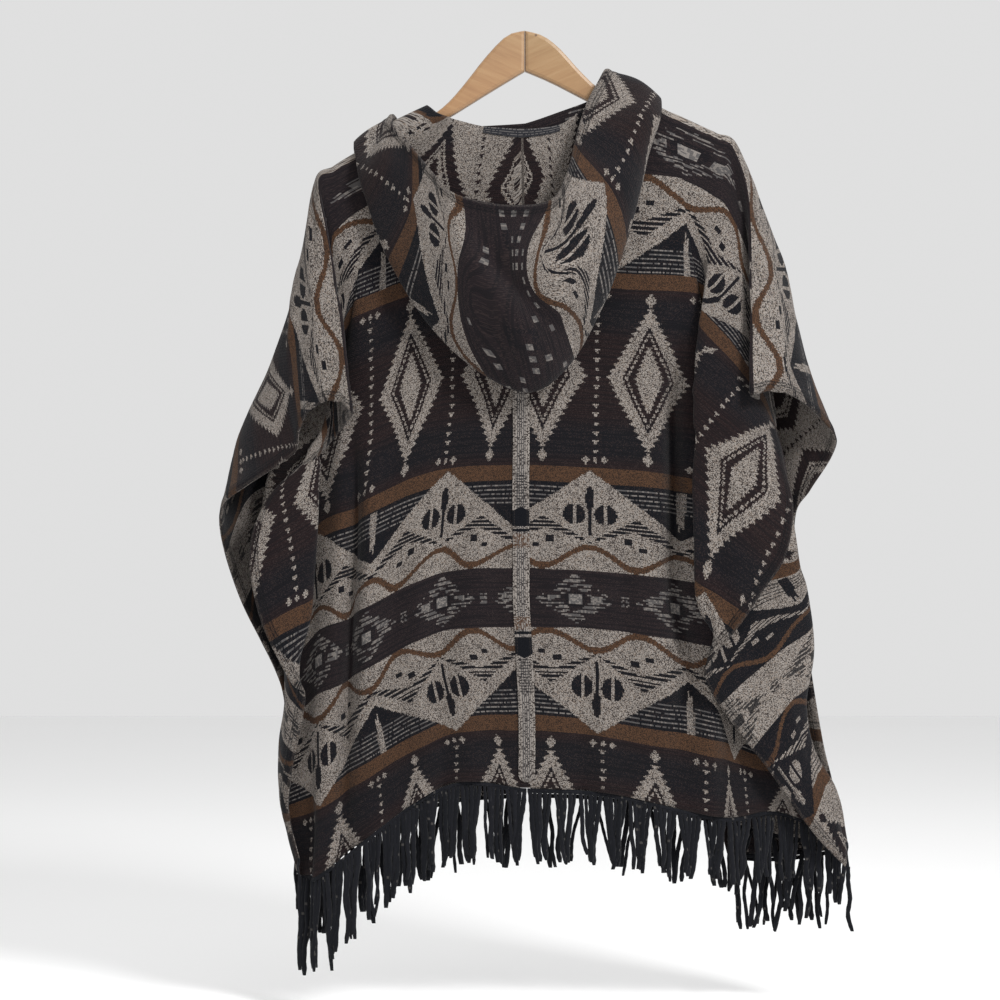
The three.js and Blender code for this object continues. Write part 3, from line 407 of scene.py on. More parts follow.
def quads_along(p, n, sample):
    """The quads of a grid of points, wound to face along n, which the sample quad decides."""
    q = grid_quads(np.arange(p.shape[0] * p.shape[1]).reshape(p.shape[:2]))
    a, b, c = (p.reshape(-1, 3)[q[sample][k]] for k in (0, 1, 2))
    if np.dot(np.cross(b - a, c - a), n.reshape(-1, 3)[q[sample][0]]) < 0:
        q = q[:, ::-1]
    return as_tuples(q)


def as_tuples(quads):
    return [tuple(int(k) for k in q) for q in quads]


# ------------------------------------------------------------------ half panels
# Soft uneven creases, listed on the flat cloth: from (u, v) to (u, v), half width,
# height of the ridge (below 0: trough), in millimetres before DEPTH. u runs from the centre
# seam. The first of each list is the deep valley beside the sleeve flap.
DEPTH = 2.2
RIGHT_CREASES = [
    (164, 215, 158, 590, 10, -10.4), (158, 560, 150, 690, 12, -3.0), (124, 300, 116, 640, 16, 1.6),
    (30, 300, 46, 690, 13, 1.8), (60, 420, 52, 690, 11, -2.0), (86, 250, 96, 560, 20, 1.2),
    (74, 560, 84, 690, 12, 2.2), (112, 380, 104, 690, 12, -1.8), (134, 470, 146, 690, 14, 1.6),
    (150, 120, 128, 330, 16, -1.4), (120, 90, 168, 250, 12, 1.2), (34, 120, 88, 300, 14, -1.0),
    (190, 230, 190, 640, 9, 3.5), (228, 300, 236, 600, 12, 2.0), (262, 250, 300, 420, 10, -1.8),
    (330, 220, 352, 420, 13, 1.8), (376, 150, 392, 330, 11, -1.8), (410, 190, 430, 420, 13, 1.6),
    (455, 250, 478, 420, 12, -1.5),
    (300, 60, 390, 110, 12, 1.8), (330, 10, 420, 20, 13, -1.6), (280, -60, 380, -70, 14, 1.8),
    (40, -160, 60, -690, 22, 2.4), (100, -120, 118, -690, 18, -2.2), (160, -200, 150, -690, 20, 2.0),
    (230, -220, 250, -690, 14, -2.0), (300, -260, 330, -660, 16, 2.2), (400, -300, 430, -660, 16, -2.2),
    (480, -320, 500, -640, 14, 1.8),
]
LEFT_CREASES = [
    (182, 290, 196, 680, 11, -9.0), (60, 470, 66, 690, 14, 1.8), (120, 560, 128, 690, 13, -2.0),
    (24, 300, 30, 690, 11, -1.6), (46, 380, 56, 690, 12, 2.0), (78, 300, 84, 690, 14, -2.0),
    (104, 430, 112, 690, 12, 2.2), (134, 240, 142, 620, 14, -1.6), (96, 90, 58, 260, 14, 1.2),
    (150, 110, 96, 250, 13, -1.2), (160, 330, 170, 560, 9, 1.4), (222, 330, 232, 620, 12, 2.0),
    (250, 260, 262, 470, 9, -1.6), (282, 300, 292, 520, 11, 1.6), (306, 120, 322, 330, 11, -1.8),
    (250, 40, 330, 90, 12, 1.8), (268, -10, 350, 20, 12, -1.6), (236, -80, 330, -90, 13, 1.8),
    (40, -160, 52, -690, 22, -2.4), (92, -130, 110, -690, 18, 2.4), (146, -200, 140, -690, 18, -2.0),
    (196, -230, 220, -680, 14, 2.2), (262, -280, 280, -660, 14, -2.0), (330, -320, 345, -640, 14, 2.0),
]


def relief(u, v, strokes):
    """Height of the creases over the cloth: smooth in all directions, with soft ends."""
    height = np.zeros_like(u)
    for k, (u0, v0, u1, v1, half, top) in enumerate(strokes):
        length = math.hypot(u1 - u0, v1 - v0)
        a = ((u - u0) * (u1 - u0) + (v - v0) * (v1 - v0)) / length**2
        # the line wanders a little, and widens and deepens downwards
        wander = 5.0 * np.sin(5.1 * a + 1.7 * k) + 2.2 * np.sin(11.3 * a + 2.9 * k)
        off = ((u - u0) * (v1 - v0) - (v - v0) * (u1 - u0)) / length + wander
        width = half * (0.8 + 0.4 * np.clip(a, 0, 1))
        fade = smooth(-0.12, 0.25, a) * (1 - smooth(0.85, 1.15, a) * (abs(v1) < 640))
        height += DEPTH * top * fade * np.exp(-((off / width) ** 2)) * (0.75 + 0.35 * np.sin(3.3 * a + k))
    return height


def small_waves(u, v):
    """Low unevenness of thick cloth that hangs, less than a millimetre high."""
    return (
        0.45 * np.sin(u / 17.0 + 1.3 * np.sin(v / 61.0)) * np.sin(v / 43.0 + 0.7)
        + 0.3 * np.sin(u / 9.1 - v / 53.0 + 2.0) * np.sin(v / 27.0 + u / 71.0)
        + 0.18 * np.sin(u / 5.3 + v / 19.0) * np.sin(v / 12.0 - u / 23.0)
    )


COLUMN_CELLS = [17, 14, 13, 12, 11, 12, 12, 12]      # cells between the columns past the neck
ROW_START = [0, 1.5, 3, 4.5, 6, 8, 10.5, 13.5, 17, 21, 25.5]
ROW_COUNT = 118


def panel_grid():
    c = list(np.linspace(0, 0.92, 18)) + [0.94, 0.96, 0.974, NECK_STOP]
    for i, n in enumerate(COLUMN_CELLS):
        c += [1 + i + k / n for k in range(n)]
    v = ROW_START + list(np.linspace(30, BACK_LENGTH, ROW_COUNT))
    return np.array(c + [9.0]), np.array(v)


def cloth_u(p, c):
    """Distance from the centre seam along each row of points."""
    step = np.diff(p, axis=1)
    inside = c[1:] <= 1.0001
    length = np.where(inside, np.abs(step[..., 0]), np.linalg.norm(step, axis=-1))
    return np.concatenate([np.abs(p[:, :1, 0]), np.cumsum(length, 1) + np.abs(p[:, :1, 0])], 1)


def even_u(p, start, hold):
    """The cloth's own measure across it, with as little shear as the shape allows: least
    squares, by conjugate gradients, held to start where hold is true."""
    across, down = np.diff(p, axis=1), np.diff(p, axis=0)
    weft = np.gradient(p, axis=1)
    weft /= np.linalg.norm(weft, axis=-1, keepdims=True)
    a = np.linalg.norm(across, axis=-1)
    b = np.einsum("ijk,ijk->ij", down, (weft[1:] + weft[:-1]) / 2)
    tall = np.linalg.norm(down, axis=-1)
    wa = np.vstack([tall[:1], (tall[1:] + tall[:-1]) / 2, tall[-1:]])
    wa = ((wa[:, 1:] + wa[:, :-1]) / 2) / np.maximum(a, 0.5)
    wide = np.hstack([a[:, :1], (a[:, 1:] + a[:, :-1]) / 2, a[:, -1:]])
    wb = ((wide[1:] + wide[:-1]) / 2) / np.maximum(tall, 0.5)
    wh = hold * 50.0

    def apply(x):
        y = wh * x
        f = wa * np.diff(x, axis=1)
        y[:, 1:] += f
        y[:, :-1] -= f
        g = wb * np.diff(x, axis=0)
        y[1:] += g
        y[:-1] -= g
        return y

    right = wh * start
    right[:, 1:] += wa * a
    right[:, :-1] -= wa * a
    right[1:] += wb * b
    right[:-1] -= wb * b
    x = start.copy()
    r = right - apply(x)
    d, rr = r.copy(), (r * r).sum()
    for _ in range(700):
        ad = apply(d)
        step = rr / (d * ad).sum()
        x += step * d
        r -= step * ad
        new = (r * r).sum()
        if new < 1e-6:
            break
        d, rr = r + (new / rr) * d, new
    return x


def build_panel(name, rows, side, strokes):
    surface = Panel(rows)
    c, v = panel_grid()
    first_outer = int(np.searchsorted(c, 1.0))
    points, normals, quads, uv, edge = [], [], [], [], []
    start = 0
    shoulder = None
    for sign, depth in ((1, NECK_DEPTH_BACK), (-1, NECK_DEPTH_FRONT)):
        drop = neck_drop(c, depth)
        down = drop[None, :] + v[:, None] * (1 - drop[None, :] / BACK_LENGTH)
        p = surface(np.broadcast_to(c, down.shape), sign * down)
        u = cloth_u(p, c)
        flat_part = np.broadcast_to(c <= CREST, u.shape).astype(float)
        if shoulder is not None:
            u[0] = shoulder_u
            flat_part[0] = 1
        weave_u = even_u(p, u, flat_part)
        if shoulder is None:
            shoulder_u = weave_u[0].copy()
        n = grid_normals(p)
        ids = start + np.arange(p.shape[0] * p.shape[1]).reshape(p.shape[:2])
        face = 1 if n[60, 20, 1] * -sign >= 0 else -1       # a point well inside the panel
        n = n * face
        away = u[:, -1:] - u
        calm = smooth(12, 30, u) * smooth(2, 16, down - drop[None, :] + 8 * (c[None, :] > 1))
        board = smooth(8, 36, down + 200 * (u > 260))     # flat where the hanger carries it
        height = relief(u, sign * down, strokes) + small_waves(u, sign * down)
        p = p + n * (height * calm * board * smooth(0, 14, away + 6))[..., None]
        n = grid_normals(p) * face
        p[:, 0, 0] += side * SEAM_GAP / 2
        n[:, 0, 0] = 0
        n[:, 0] /= np.linalg.norm(n[:, 0], axis=-1, keepdims=True)
        q = grid_quads(ids)
        if face < 0:
            q = q[:, ::-1]
        quads.append(q)
        points.append(p.reshape(-1, 3))
        normals.append(n.reshape(-1, 3))
        uv.append(np.stack([weave_u, sign * down], -1).reshape(-1, 2))
        edge.append(away.ravel())
        if shoulder is None:
            shoulder = ids[0].copy()
        else:
            shared = ids[0]
        start += ids.size
    points, normals = np.concatenate(points), np.concatenate(normals)
    uv, edge = np.concatenate(uv), np.concatenate(edge)
    quads = np.concatenate(quads)
    # the two nets share the shoulder line outside the neck
    keep = np.arange(len(points))
    for a, b in zip(shoulder[first_outer:], shared[first_outer:]):
        keep[b] = a
        normals[a] = normals[a] + normals[b]
        normals[a] /= np.linalg.norm(normals[a])
    used = np.unique(keep)
    new = np.full(len(points), -1)
    new[used] = np.arange(len(used))
    quads = as_tuples(new[keep[quads]])
    points, normals, uv, edge = points[used], normals[used], uv[used], edge[used]
    thick = CLOTH + 1.7 * (1 - smooth(8.5, 11, edge)) * smooth(-1.5, 2.5, edge)
    return shell(name, points, normals, quads, thick, pattern_place(uv, side), edge)


def pattern_place(uv, side):
    """Flat cloth to the woven repeat. The cloth is wrong by a finger's width where the two
    half panels were sewn together, so the left one starts a little earlier."""
    u, v = uv[:, 0], uv[:, 1]
    if side < 0:
        u = np.where(u < 170, u * 1.22 - 10, 197.4 + (u - 170))
        late = np.interp(v, [300, 390, 440, 470, 520, 560, 610, 650], [0, -15, -20, -33, -33, -18, -8, 0])
        u = u + late * (1 - smooth(200, 240, u))
    else:
        u = u + 50 * smooth(190, 240, u) * smooth(130, 200, v)      # taken up in the hidden fold
    return np.stack([u, v - 41], -1)


right_rows = with_shoulder_rows(RIGHT_ROWS)
left_rows = with_shoulder_rows(LEFT_ROWS)
panel_right = build_panel("cape_panel_right", right_rows, 1, RIGHT_CREASES)
panel_left = build_panel("cape_panel_left", left_rows, -1, LEFT_CREASES)


# ------------------------------------------------------------------ hood
hood_points = [[list(p) for p in column] for column in HOOD_COLUMNS]
# The rim sinks a little where it turns over the shoulder, so the lining shows behind it,
# and the lining stands up in front of the hanger.
for column, row, place in ((3, 4, (400, 119, -15)), (4, 4, (394, 113.5, -2)), (5, 4, (391, 121, 14)),
                           (4, 0, (426, 104, 2)), (5, 0, (437, 112, 12)), (6, 0, (447, 116, 14))):
    hood_points[column][row] = list(place)
hood_net = to_model(hood_points)
# The woven repeat over the hood: its dark band runs down the back of the head.
HOOD_LINES = [(0, 420), (4, 255), (5.6, 227), (7.3, 127), (8.0, 87), (8.8, 42), (9.2, 29), (10.1, 0),
              (10.95, 29), (11.15, 45), (11.65, 87), (12.55, 127), (14.4, 227), (16, 300), (20, 505)]


def hood_surface(s, t):
    s, t = np.broadcast_arrays(np.asarray(s, float), np.asarray(t, float))
    p = np.einsum("ns,stk,nt->nk", weights(s, len(hood_net)), hood_net, weights(t, 5))
    return p.reshape(s.shape + (3,))


def gauss(x, centre, half):
    return np.exp(-(((x - centre) / half) ** 2))


def build_hood():
    s = np.linspace(0, 20, 181)
    t = np.concatenate([np.linspace(0, 1, 22)[:-1], np.linspace(1, 2, 24)[:-1], np.linspace(2, 3, 26)[:-1],
                        np.linspace(3, 4, 26)])
    S, T = np.meshgrid(s, t, indexing="ij")
    p = hood_surface(S, T)
    n = grid_normals(p)
    face = -1 if n[90, 80, 1] > 0 else 1     # the near layer at the centre back faces the viewer
    n = n * face
    free = smooth(0.05, 0.5, T)
    height = (
        # the pucker beside the peak, and the folds that run from it
        -10.5 * gauss(S + 1.3 * (T - 2.9), 10.4, 0.3) * gauss(T, 3.0, 0.55)
        + 6.5 * gauss(S + 1.1 * (T - 2.9), 9.8, 0.4) * gauss(T, 2.9, 0.6)
        + 5.5 * gauss(S + 0.8 * (T - 2.9), 11.1, 0.42) * gauss(T, 3.0, 0.6)
        - 4.5 * gauss(S - 0.5 * (T - 3.2), 9.55, 0.25) * gauss(T, 3.3, 0.4)
        # folds of the wings, towards the shoulders
        - 2.4 * gauss(S + 0.7 * (T - 3), 13.4, 0.35) * gauss(T, 2.9, 0.9)
        + 2.2 * gauss(S + 0.7 * (T - 3), 14.2, 0.45) * gauss(T, 2.9, 0.9)
        - 2.0 * gauss(S - 0.6 * (T - 3), 7.1, 0.4) * gauss(T, 2.9, 0.8)
        + 1.8 * gauss(S - 0.6 * (T - 3), 6.3, 0.4) * gauss(T, 2.9, 0.8)
        # folds inside, on the layer that lies against the back
        + 3.0 * gauss(S - 0.5 * T, 12.2, 0.35) * gauss(T, 0.9, 0.5)
        - 2.4 * gauss(S - 0.5 * T, 11.3, 0.35) * gauss(T, 0.9, 0.5)
        + 1.6 * gauss(S + 0.4 * T, 8.2, 0.4) * gauss(T, 1.0, 0.5)
        + 0.5 * np.sin(2.3 * S + T) * np.sin(3.1 * T - S)
    )
    p = p + n * (height * free)[..., None]
    n = grid_normals(p) * face
    step_t = np.linalg.norm(np.diff(p, axis=1), axis=-1)
    from_rim = np.concatenate([np.cumsum(step_t[:, ::-1], 1)[:, ::-1], np.zeros((len(s), 1))], 1)
    q = np.interp(S, [a for a, _ in HOOD_LINES], [b for _, b in HOOD_LINES])
    q = q + 50 * gauss(T, 3.35, 0.38) * gauss(S, 10.85, 0.6) - 22 * gauss(T, 2.85, 0.5) * gauss(S, 9.0, 0.5)
    # Behind the turn the cloth goes down the back of the head, away from the top of the hood,
    # so the repeat goes on along the hood, and its length runs towards the seam.
    turn_at = int(np.argmin(np.abs(t - 2)))
    past = np.maximum(0, from_rim - from_rim[:, turn_at:turn_at + 1])
    q = q + past
    length = np.minimum(from_rim, from_rim[:, turn_at:turn_at + 1])
    q = np.where(S < 10.1, -q, q)
    quads = quads_along(p, n, (len(s) - 1) * (len(t) - 1) // 2)
    rim = smooth(15, 10, from_rim)
    thick = CLOTH + 1.4 * rim + 3.2 * gauss(from_rim, 2.8, 2.7)
    uv = np.stack([22 + length, q], -1).reshape(-1, 2)
    return shell("cape_hood", p.reshape(-1, 3), n.reshape(-1, 3), quads, thick.ravel(), uv, from_rim.ravel())


hood = build_hood()


# ------------------------------------------------------------------ strip and neck tape
STRIP_TOP, STRIP_BOTTOM, STRIP_ROUND, STRIP_HALF, STRIP_THICK = 46, 684, 7, 8, 1.6
TAPE_FIRST, TAPE_LAST, TAPE_THICK = 8.1, 11.9, 1.0
TAPE_AT = (0.002, 0.04)


def build_strip():
    surface = Panel(right_rows)
    straight = STRIP_BOTTOM - STRIP_ROUND
    v = np.concatenate([np.linspace(STRIP_TOP, straight, 190), straight + STRIP_ROUND * np.array(
        [0.15, 0.3, 0.45, 0.6, 0.72, 0.82, 0.9, 0.96, 1.0])])
    w = np.linspace(-1, 1, 13)
    past = np.maximum(0, v - straight) / STRIP_ROUND
    reach = STRIP_HALF * np.sqrt(np.maximum(0.04, 1 - past**2))
    middle = surface(np.zeros(len(v)), v)
    off = CLOTH / 2 + SEAM_GAP + STRIP_THICK / 2
    p = np.repeat(middle[:, None, :], len(w), 1)
    p[..., 0] += reach[:, None] * w
    # a sewn-down strip: pressed at its two stitch lines, soft between them, edges uneven
    p[..., 0] += 0.35 * np.sin(v / 23.0)[:, None] * np.abs(w)
    swell = 0.35 * np.cos(1.3 * w) ** 2 * (1 + 0.4 * np.sin(v / 17.0)[:, None])
    p[..., 1] -= off + swell * (1 - gauss(np.abs(w), 0.72, 0.1))[None, :]
    n = np.zeros_like(p)
    n[..., 1] = -1
    n[..., 0] = 0.35 * w**3
    n /= np.linalg.norm(n, axis=-1, keepdims=True)
    ids = np.arange(p.shape[0] * p.shape[1]).reshape(p.shape[:2])
    quads = as_tuples(grid_quads(ids)[:, ::-1])
    uv = np.stack([np.broadcast_to(w * STRIP_HALF, p.shape[:2]), np.broadcast_to(v[:, None], p.shape[:2])], -1)
    edge = STRIP_HALF * (1 - np.abs(np.broadcast_to(w, p.shape[:2])))
    return shell("cape_back_strip", p.reshape(-1, 3), n.reshape(-1, 3), quads, STRIP_THICK - 0.5,
                 uv.reshape(-1, 2), edge.ravel())


def build_tape():
    s = np.linspace(TAPE_FIRST, TAPE_LAST, 90)
    t = np.linspace(*TAPE_AT, 9)
    S, T = np.meshgrid(s, t, indexing="ij")
    p = hood_surface(S, T)
    off = CLOTH / 2 + SEAM_GAP + TAPE_THICK / 2
    # the tape lies on the side that faces the neck
    across = hood_surface(S + 0.05, T) - hood_surface(S - 0.05, T)
    down = hood_surface(S, T + 0.02) - p
    away = -np.cross(across, down)
    away /= np.linalg.norm(away, axis=-1, keepdims=True)
    p = p + away * off
    run = np.concatenate([[0], np.cumsum(np.linalg.norm(np.diff(p[:, 4], axis=0), axis=-1))])
    width = np.linspace(0, 10, len(t))
    uv = np.stack([np.broadcast_to(run[:, None], p.shape[:2]), np.broadcast_to(width, p.shape[:2])], -1)
    return shell("cape_neck_tape", p.reshape(-1, 3), away.reshape(-1, 3), quads_along(p, away, 300),
                 TAPE_THICK - 0.2, uv.reshape(-1, 2), np.full(p.shape[0] * p.shape[1], 5.0))


back_strip = build_strip()
neck_tape = build_tape()

# ------------------------------------------------------------------ fringe
STRIP_HEIGHT = 5            # the backing, of which the strands leave the lower part
STRAND_RADIUS = 1.7
CLUMP, PULL = 5, 0.62       # strands that lean together, and how far
STRAND_ROOM = 6             # no strand hangs this close above another part of the hem
WALL_COLUMNS = [0, 0.4, 0.75, 0.95, 0.985] + [1 + i + k / n for i, n in enumerate([3, 2, 2, 3, 2, 3, 2, 3])
                                              for k in range(n)] + [9]


def scatter(k, salt):
    x = math.sin(k * 12.9898 + salt * 78.233) * 43758.5453
    return 2 * (x - math.floor(x)) - 1


def hem_line(rows, side, sign, columns):
    surface = Panel(rows)
    c = np.array(columns, float)
    v = np.full(len(c), sign * float(BACK_LENGTH))
    p = surface(c, v)
    down = p - surface(c, v - sign * 8)
    down /= np.linalg.norm(down, axis=-1, keepdims=True)
    p[0, 0] += side * SEAM_GAP
    return p, down


def strand_places(p, down, count):
    run = np.concatenate([[0], np.cumsum(np.linalg.norm(np.diff(p, axis=0), axis=-1))])
    goal = run[-1] * (np.arange(count) + 0.5) / count
    at = np.stack([np.interp(goal, run, p[:, k]) for k in range(3)], -1)
    way = np.stack([np.interp(goal, run, down[:, k]) for k in range(3)], -1)
    return at, way / np.linalg.norm(way, axis=-1, keepdims=True)


def cord(spine, radius, turns, phase, rings=15, sides=9):
    """A yarn of two plies twisted together: a two-lobed section that turns on its way down."""
    t = np.linspace(0, 1, rings)
    path = bezier(spine, t)
    points, faces = [], []
    for i, (centre, a) in enumerate(zip(path, t)):
        r = radius * (0.82 + 0.18 * smooth(0, 0.12, a)) * (1 - 0.3 * smooth(0.94, 1, a))
        for k in range(sides):
            angle = 2 * math.pi * k / sides
            lobe = 1 + 0.11 * math.cos(2 * (angle - phase - turns * 2 * math.pi * a))
            points.append(centre + np.array([r * lobe * math.cos(angle), r * lobe * math.sin(angle) * 0.85, 0]))
        if i:
            for k in range(sides):
                b = (i - 1) * sides + k
                c = (i - 1) * sides + (k + 1) % sides
                faces.append((b, b + sides, c + sides, c))
    faces.append(tuple(range(sides)))
    faces.append(tuple(reversed(range((rings - 1) * sides, rings * sides))))
    run = np.repeat(t, sides) * np.linalg.norm(spine[-1] - spine[0])
    around = np.tile(np.arange(sides) / sides, rings)
    return np.array(points), faces, run, around


def bezier(spine, t):
    m = weights(np.asarray(t) * (len(spine) - 1), len(spine))
    return m @ np.asarray(spine)


def build_fringe(name, rows, side, sign, count, length_at):
    wall_p, wall_down = hem_line(rows, side, sign, WALL_COLUMNS)
    at, way = strand_places(wall_p, wall_down, count)
    keep = [i for i in range(count) if not any(
        q[2] < at[i][2] - 3 and math.hypot(q[0] - at[i][0], q[1] - at[i][1]) < STRAND_ROOM for q in wall_p)]
    at, way = at[keep], way[keep]
    top = SEAM_GAP * 2.5
    points, faces, uv = [], [], []
    count_points = 0
    for i in range(len(at)):
        middle = min(len(at) - 1, (i // CLUMP) * CLUMP + CLUMP // 2)
        p, d = at[i], way[i]
        length = length_at(p[0]) * (1 + 0.09 * scatter(i, sign))
        root = p + d * (top + STRIP_HEIGHT * 0.6)
        lean = (at[middle][0] - p[0]) * PULL + 3 * scatter(i, 3)
        bend = root + np.array([lean * 0.6, 1.5 * scatter(i, 5), -length * 0.5])
        tip = root + np.array([lean, 2.5 * scatter(i, 7), -length])
        # the drawn strand sways a little about the solid's own line
        sway = lambda k, a: np.array([a * scatter(i, k), 0.6 * a * scatter(i, k + 1), 0])
        spine = np.array([root, (root + bend) / 2 + sway(11, 0.8), bend + sway(13, 1.3),
                          (bend + tip) / 2 + sway(15, 2.0), tip + sway(17, 2.6)])
        radius = STRAND_RADIUS * (1.3 + 0.36 * scatter(i, 19))
        a, f, run, around = cord(spine, radius, 3.2 + scatter(i, 21), i * 1.7)
        points.append(a)
        faces += [tuple(k + count_points for k in g) for g in f]
        uv.append(np.stack([around * 10 + 20 * i, run], -1))
        count_points += len(a)
    # the narrow backing that the strands are knotted into, rounded along its lower edge
    columns = np.linspace(0, 9, 150)
    p, d = hem_line(rows, side, sign, columns)
    flat = np.gradient(p, axis=0)
    n = np.cross(flat, d)
    n /= np.linalg.norm(n, axis=-1, keepdims=True)
    section = [(0.0, 0.6), (1.0, 0.95), (2.6, 1.05), (3.8, 0.75), (4.2, 0.3)]
    loop = [(a, b) for a, b in section] + [(a, -b) for a, b in reversed(section)]
    ring = len(loop)
    strip_points = np.concatenate([
        [p[k] + d[k] * (top + a) + n[k] * b for a, b in loop] for k in range(len(p))])
    base = count_points
    for k in range(len(p) - 1):
        for j in range(ring):
            a, b = base + k * ring + j, base + k * ring + (j + 1) % ring
            faces.append((a, a + ring, b + ring, b))
    faces.append(tuple(base + j for j in range(ring)))
    faces.append(tuple(base + (len(p) - 1) * ring + j for j in reversed(range(ring))))
    points.append(strip_points)
    run = np.cumsum(np.linalg.norm(flat, axis=-1))
    uv.append(np.stack([np.repeat(run, ring), np.tile([a for a, _ in loop], len(p))], -1))
    obj = mesh_object(name, np.concatenate(points), faces)
    bm = bmesh.new()
    bm.from_mesh(obj.data)
    bmesh.ops.recalc_face_normals(bm, faces=bm.faces)
    bm.to_mesh(obj.data)
    bm.free()
    set_uv(obj, "cloth", np.concatenate(uv))
    return obj


def left_length(x):
    return FRINGE_LENGTH - 10 + max(0, (-x - 100) * 0.16)


def right_length(x):
    return FRINGE_LENGTH - 12 - min(1, max(0, x / 150)) * 8


fringes = [
    build_fringe("cape_fringe_back_right", right_rows, 1, 1, 72, right_length),
    build_fringe("cape_fringe_back_left", left_rows, -1, 1, 66, left_length),
    build_fringe("cape_fringe_front_right", right_rows, 1, -1, 44, lambda x: FRINGE_LENGTH - 14),
    build_fringe("cape_fringe_front_left", left_rows, -1, -1, 44, lambda x: FRINGE_LENGTH - 14),
]


# ------------------------------------------------------------------ materials
def linear(r, g, b):
    """An sRGB colour, 0 to 255, as the shader wants it."""
    f = lambda c: c / 12.92 if c <= 0.04045 else ((c + 0.055) / 1.055) ** 2.4
    return (f(r / 255), f(g / 255), f(b / 255), 1.0)


class Num:
    """A number in a node tree. Arithmetic on it adds Math nodes to that tree."""

    def __init__(self, tree, socket):
        self.tree, self.socket = tree, socket

    def op(self, kind, *others, clamp=False):
        node = self.tree.nodes.new("ShaderNodeMath")
        node.operation, node.use_clamp = kind, clamp
        for i, x in enumerate((self,) + others):
            if isinstance(x, Num):
                self.tree.links.new(x.socket, node.inputs[i])
            else:
                node.inputs[i].default_value = float(x)
        return Num(self.tree, node.outputs[0])

    __add__ = lambda a, b: a.op("ADD", b)
    __sub__ = lambda a, b: a.op("SUBTRACT", b)
    __mul__ = lambda a, b: a.op("MULTIPLY", b)
    __truediv__ = lambda a, b: a.op("DIVIDE", b)
    __lt__ = lambda a, b: a.op("LESS_THAN", b)
    __gt__ = lambda a, b: a.op("GREATER_THAN", b)
    __and__ = lambda a, b: a.op("MULTIPLY", b)
    __or__ = lambda a, b: a.op("MAXIMUM", b)
    abs = lambda a: a.op("ABSOLUTE")
    sin = lambda a: a.op("SINE")
    less = lambda a, b: a.op("SUBTRACT", b, clamp=True)          # a and not b, for masks
    mod = lambda a, b: a.op("FLOORED_MODULO", b)
    fold = lambda a, b: a.op("PINGPONG", b)
    axpy = lambda a, k, c: a.op("MULTIPLY_ADD", k, c)
    steps = lambda a, b: a.op("SNAP", b)


class Paint:
    """Builds one material: coordinates, noise, colour mixes, then its shader."""

    def __init__(self, name, roughness, sheen=0.0, sheen_roughness=0.5, specular=0.3):
        self.material = bpy.data.materials.new(name)
        self.material.use_nodes = True
        self.tree = self.material.node_tree
        self.tree.nodes.clear()
        self.out = self.tree.nodes.new("ShaderNodeOutputMaterial")
        self.shader = self.tree.nodes.new("ShaderNodeBsdfPrincipled")
        self.tree.links.new(self.shader.outputs[0], self.out.inputs[0])
        self.shader.inputs["Roughness"].default_value = roughness
        self.shader.inputs["Specular IOR Level"].default_value = specular
        if sheen:
            self.shader.inputs["Sheen Weight"].default_value = sheen
            self.shader.inputs["Sheen Roughness"].default_value = sheen_roughness

    def num(self, socket):
        return Num(self.tree, socket)

    def flat(self):
        """The place on the flat cloth, in millimetres."""
        node = self.tree.nodes.new("ShaderNodeUVMap")
        node.uv_map = "cloth"
        part = self.tree.nodes.new("ShaderNodeSeparateXYZ")
        self.tree.links.new(node.outputs[0], part.inputs[0])
        return self.num(part.outputs[0]) * 1000, self.num(part.outputs[1]) * 1000

    def point(self, x, y, z=0.0):
        node = self.tree.nodes.new("ShaderNodeCombineXYZ")
        for i, a in enumerate((x, y, z)):
            if isinstance(a, Num):
                self.tree.links.new(a.socket, node.inputs[i])
            else:
                node.inputs[i].default_value = a
        return node.outputs[0]

    def place(self):
        node = self.tree.nodes.new("ShaderNodeTexCoord")
        return node.outputs["Object"]

    def noise(self, vector, scale, detail=2.0, roughness=0.5, distortion=0.0):
        node = self.tree.nodes.new("ShaderNodeTexNoise")
        self.tree.links.new(vector, node.inputs["Vector"])
        node.inputs["Scale"].default_value = scale
        node.inputs["Detail"].default_value = detail
        node.inputs["Roughness"].default_value = roughness
        node.inputs["Distortion"].default_value = distortion
        return self.num(node.outputs[0])

    def chance(self, vector):
        node = self.tree.nodes.new("ShaderNodeTexWhiteNoise")
        self.tree.links.new(vector, node.inputs["Vector"])
        return self.num(node.outputs[0])

    def number(self, name):
        node = self.tree.nodes.new("ShaderNodeAttribute")
        node.attribute_name = name
        return self.num(node.outputs["Fac"])

    def mix(self, factor, a, b):
        node = self.tree.nodes.new("ShaderNodeMix")
        node.data_type = "RGBA"
        self.tree.links.new(factor.socket, node.inputs["Factor"])
        for x, socket in ((a, node.inputs[6]), (b, node.inputs[7])):
            if isinstance(x, tuple):
                socket.default_value = x
            else:
                self.tree.links.new(x, socket)
        return node.outputs[2]

    def ramp(self, factor, stops):
        node = self.tree.nodes.new("ShaderNodeValToRGB")
        self.tree.links.new(factor.socket, node.inputs[0])
        elements = node.color_ramp.elements
        while len(elements) < len(stops):
            elements.new(1.0)
        for element, (at, colour) in zip(elements, stops):
            element.position, element.color = at, colour
        return node.outputs[0]

    def bump(self, height, distance, strength=1.0):
        node = self.tree.nodes.new("ShaderNodeBump")
        node.inputs["Strength"].default_value = strength
        node.inputs["Distance"].default_value = distance
        self.tree.links.new(height.socket, node.inputs["Height"])
        self.tree.links.new(node.outputs[0], self.shader.inputs["Normal"])

    def base(self, colour):
        self.tree.links.new(colour, self.shader.inputs["Base Color"])
        return self.material


DYE = 0.61          # wool gives back less of its colour under the studio lights


def wool(r, g, b):
    """A yarn colour, given in sRGB and scaled by DYE."""
    return tuple(c * DYE for c in linear(r, g, b)[:3]) + (1.0,)


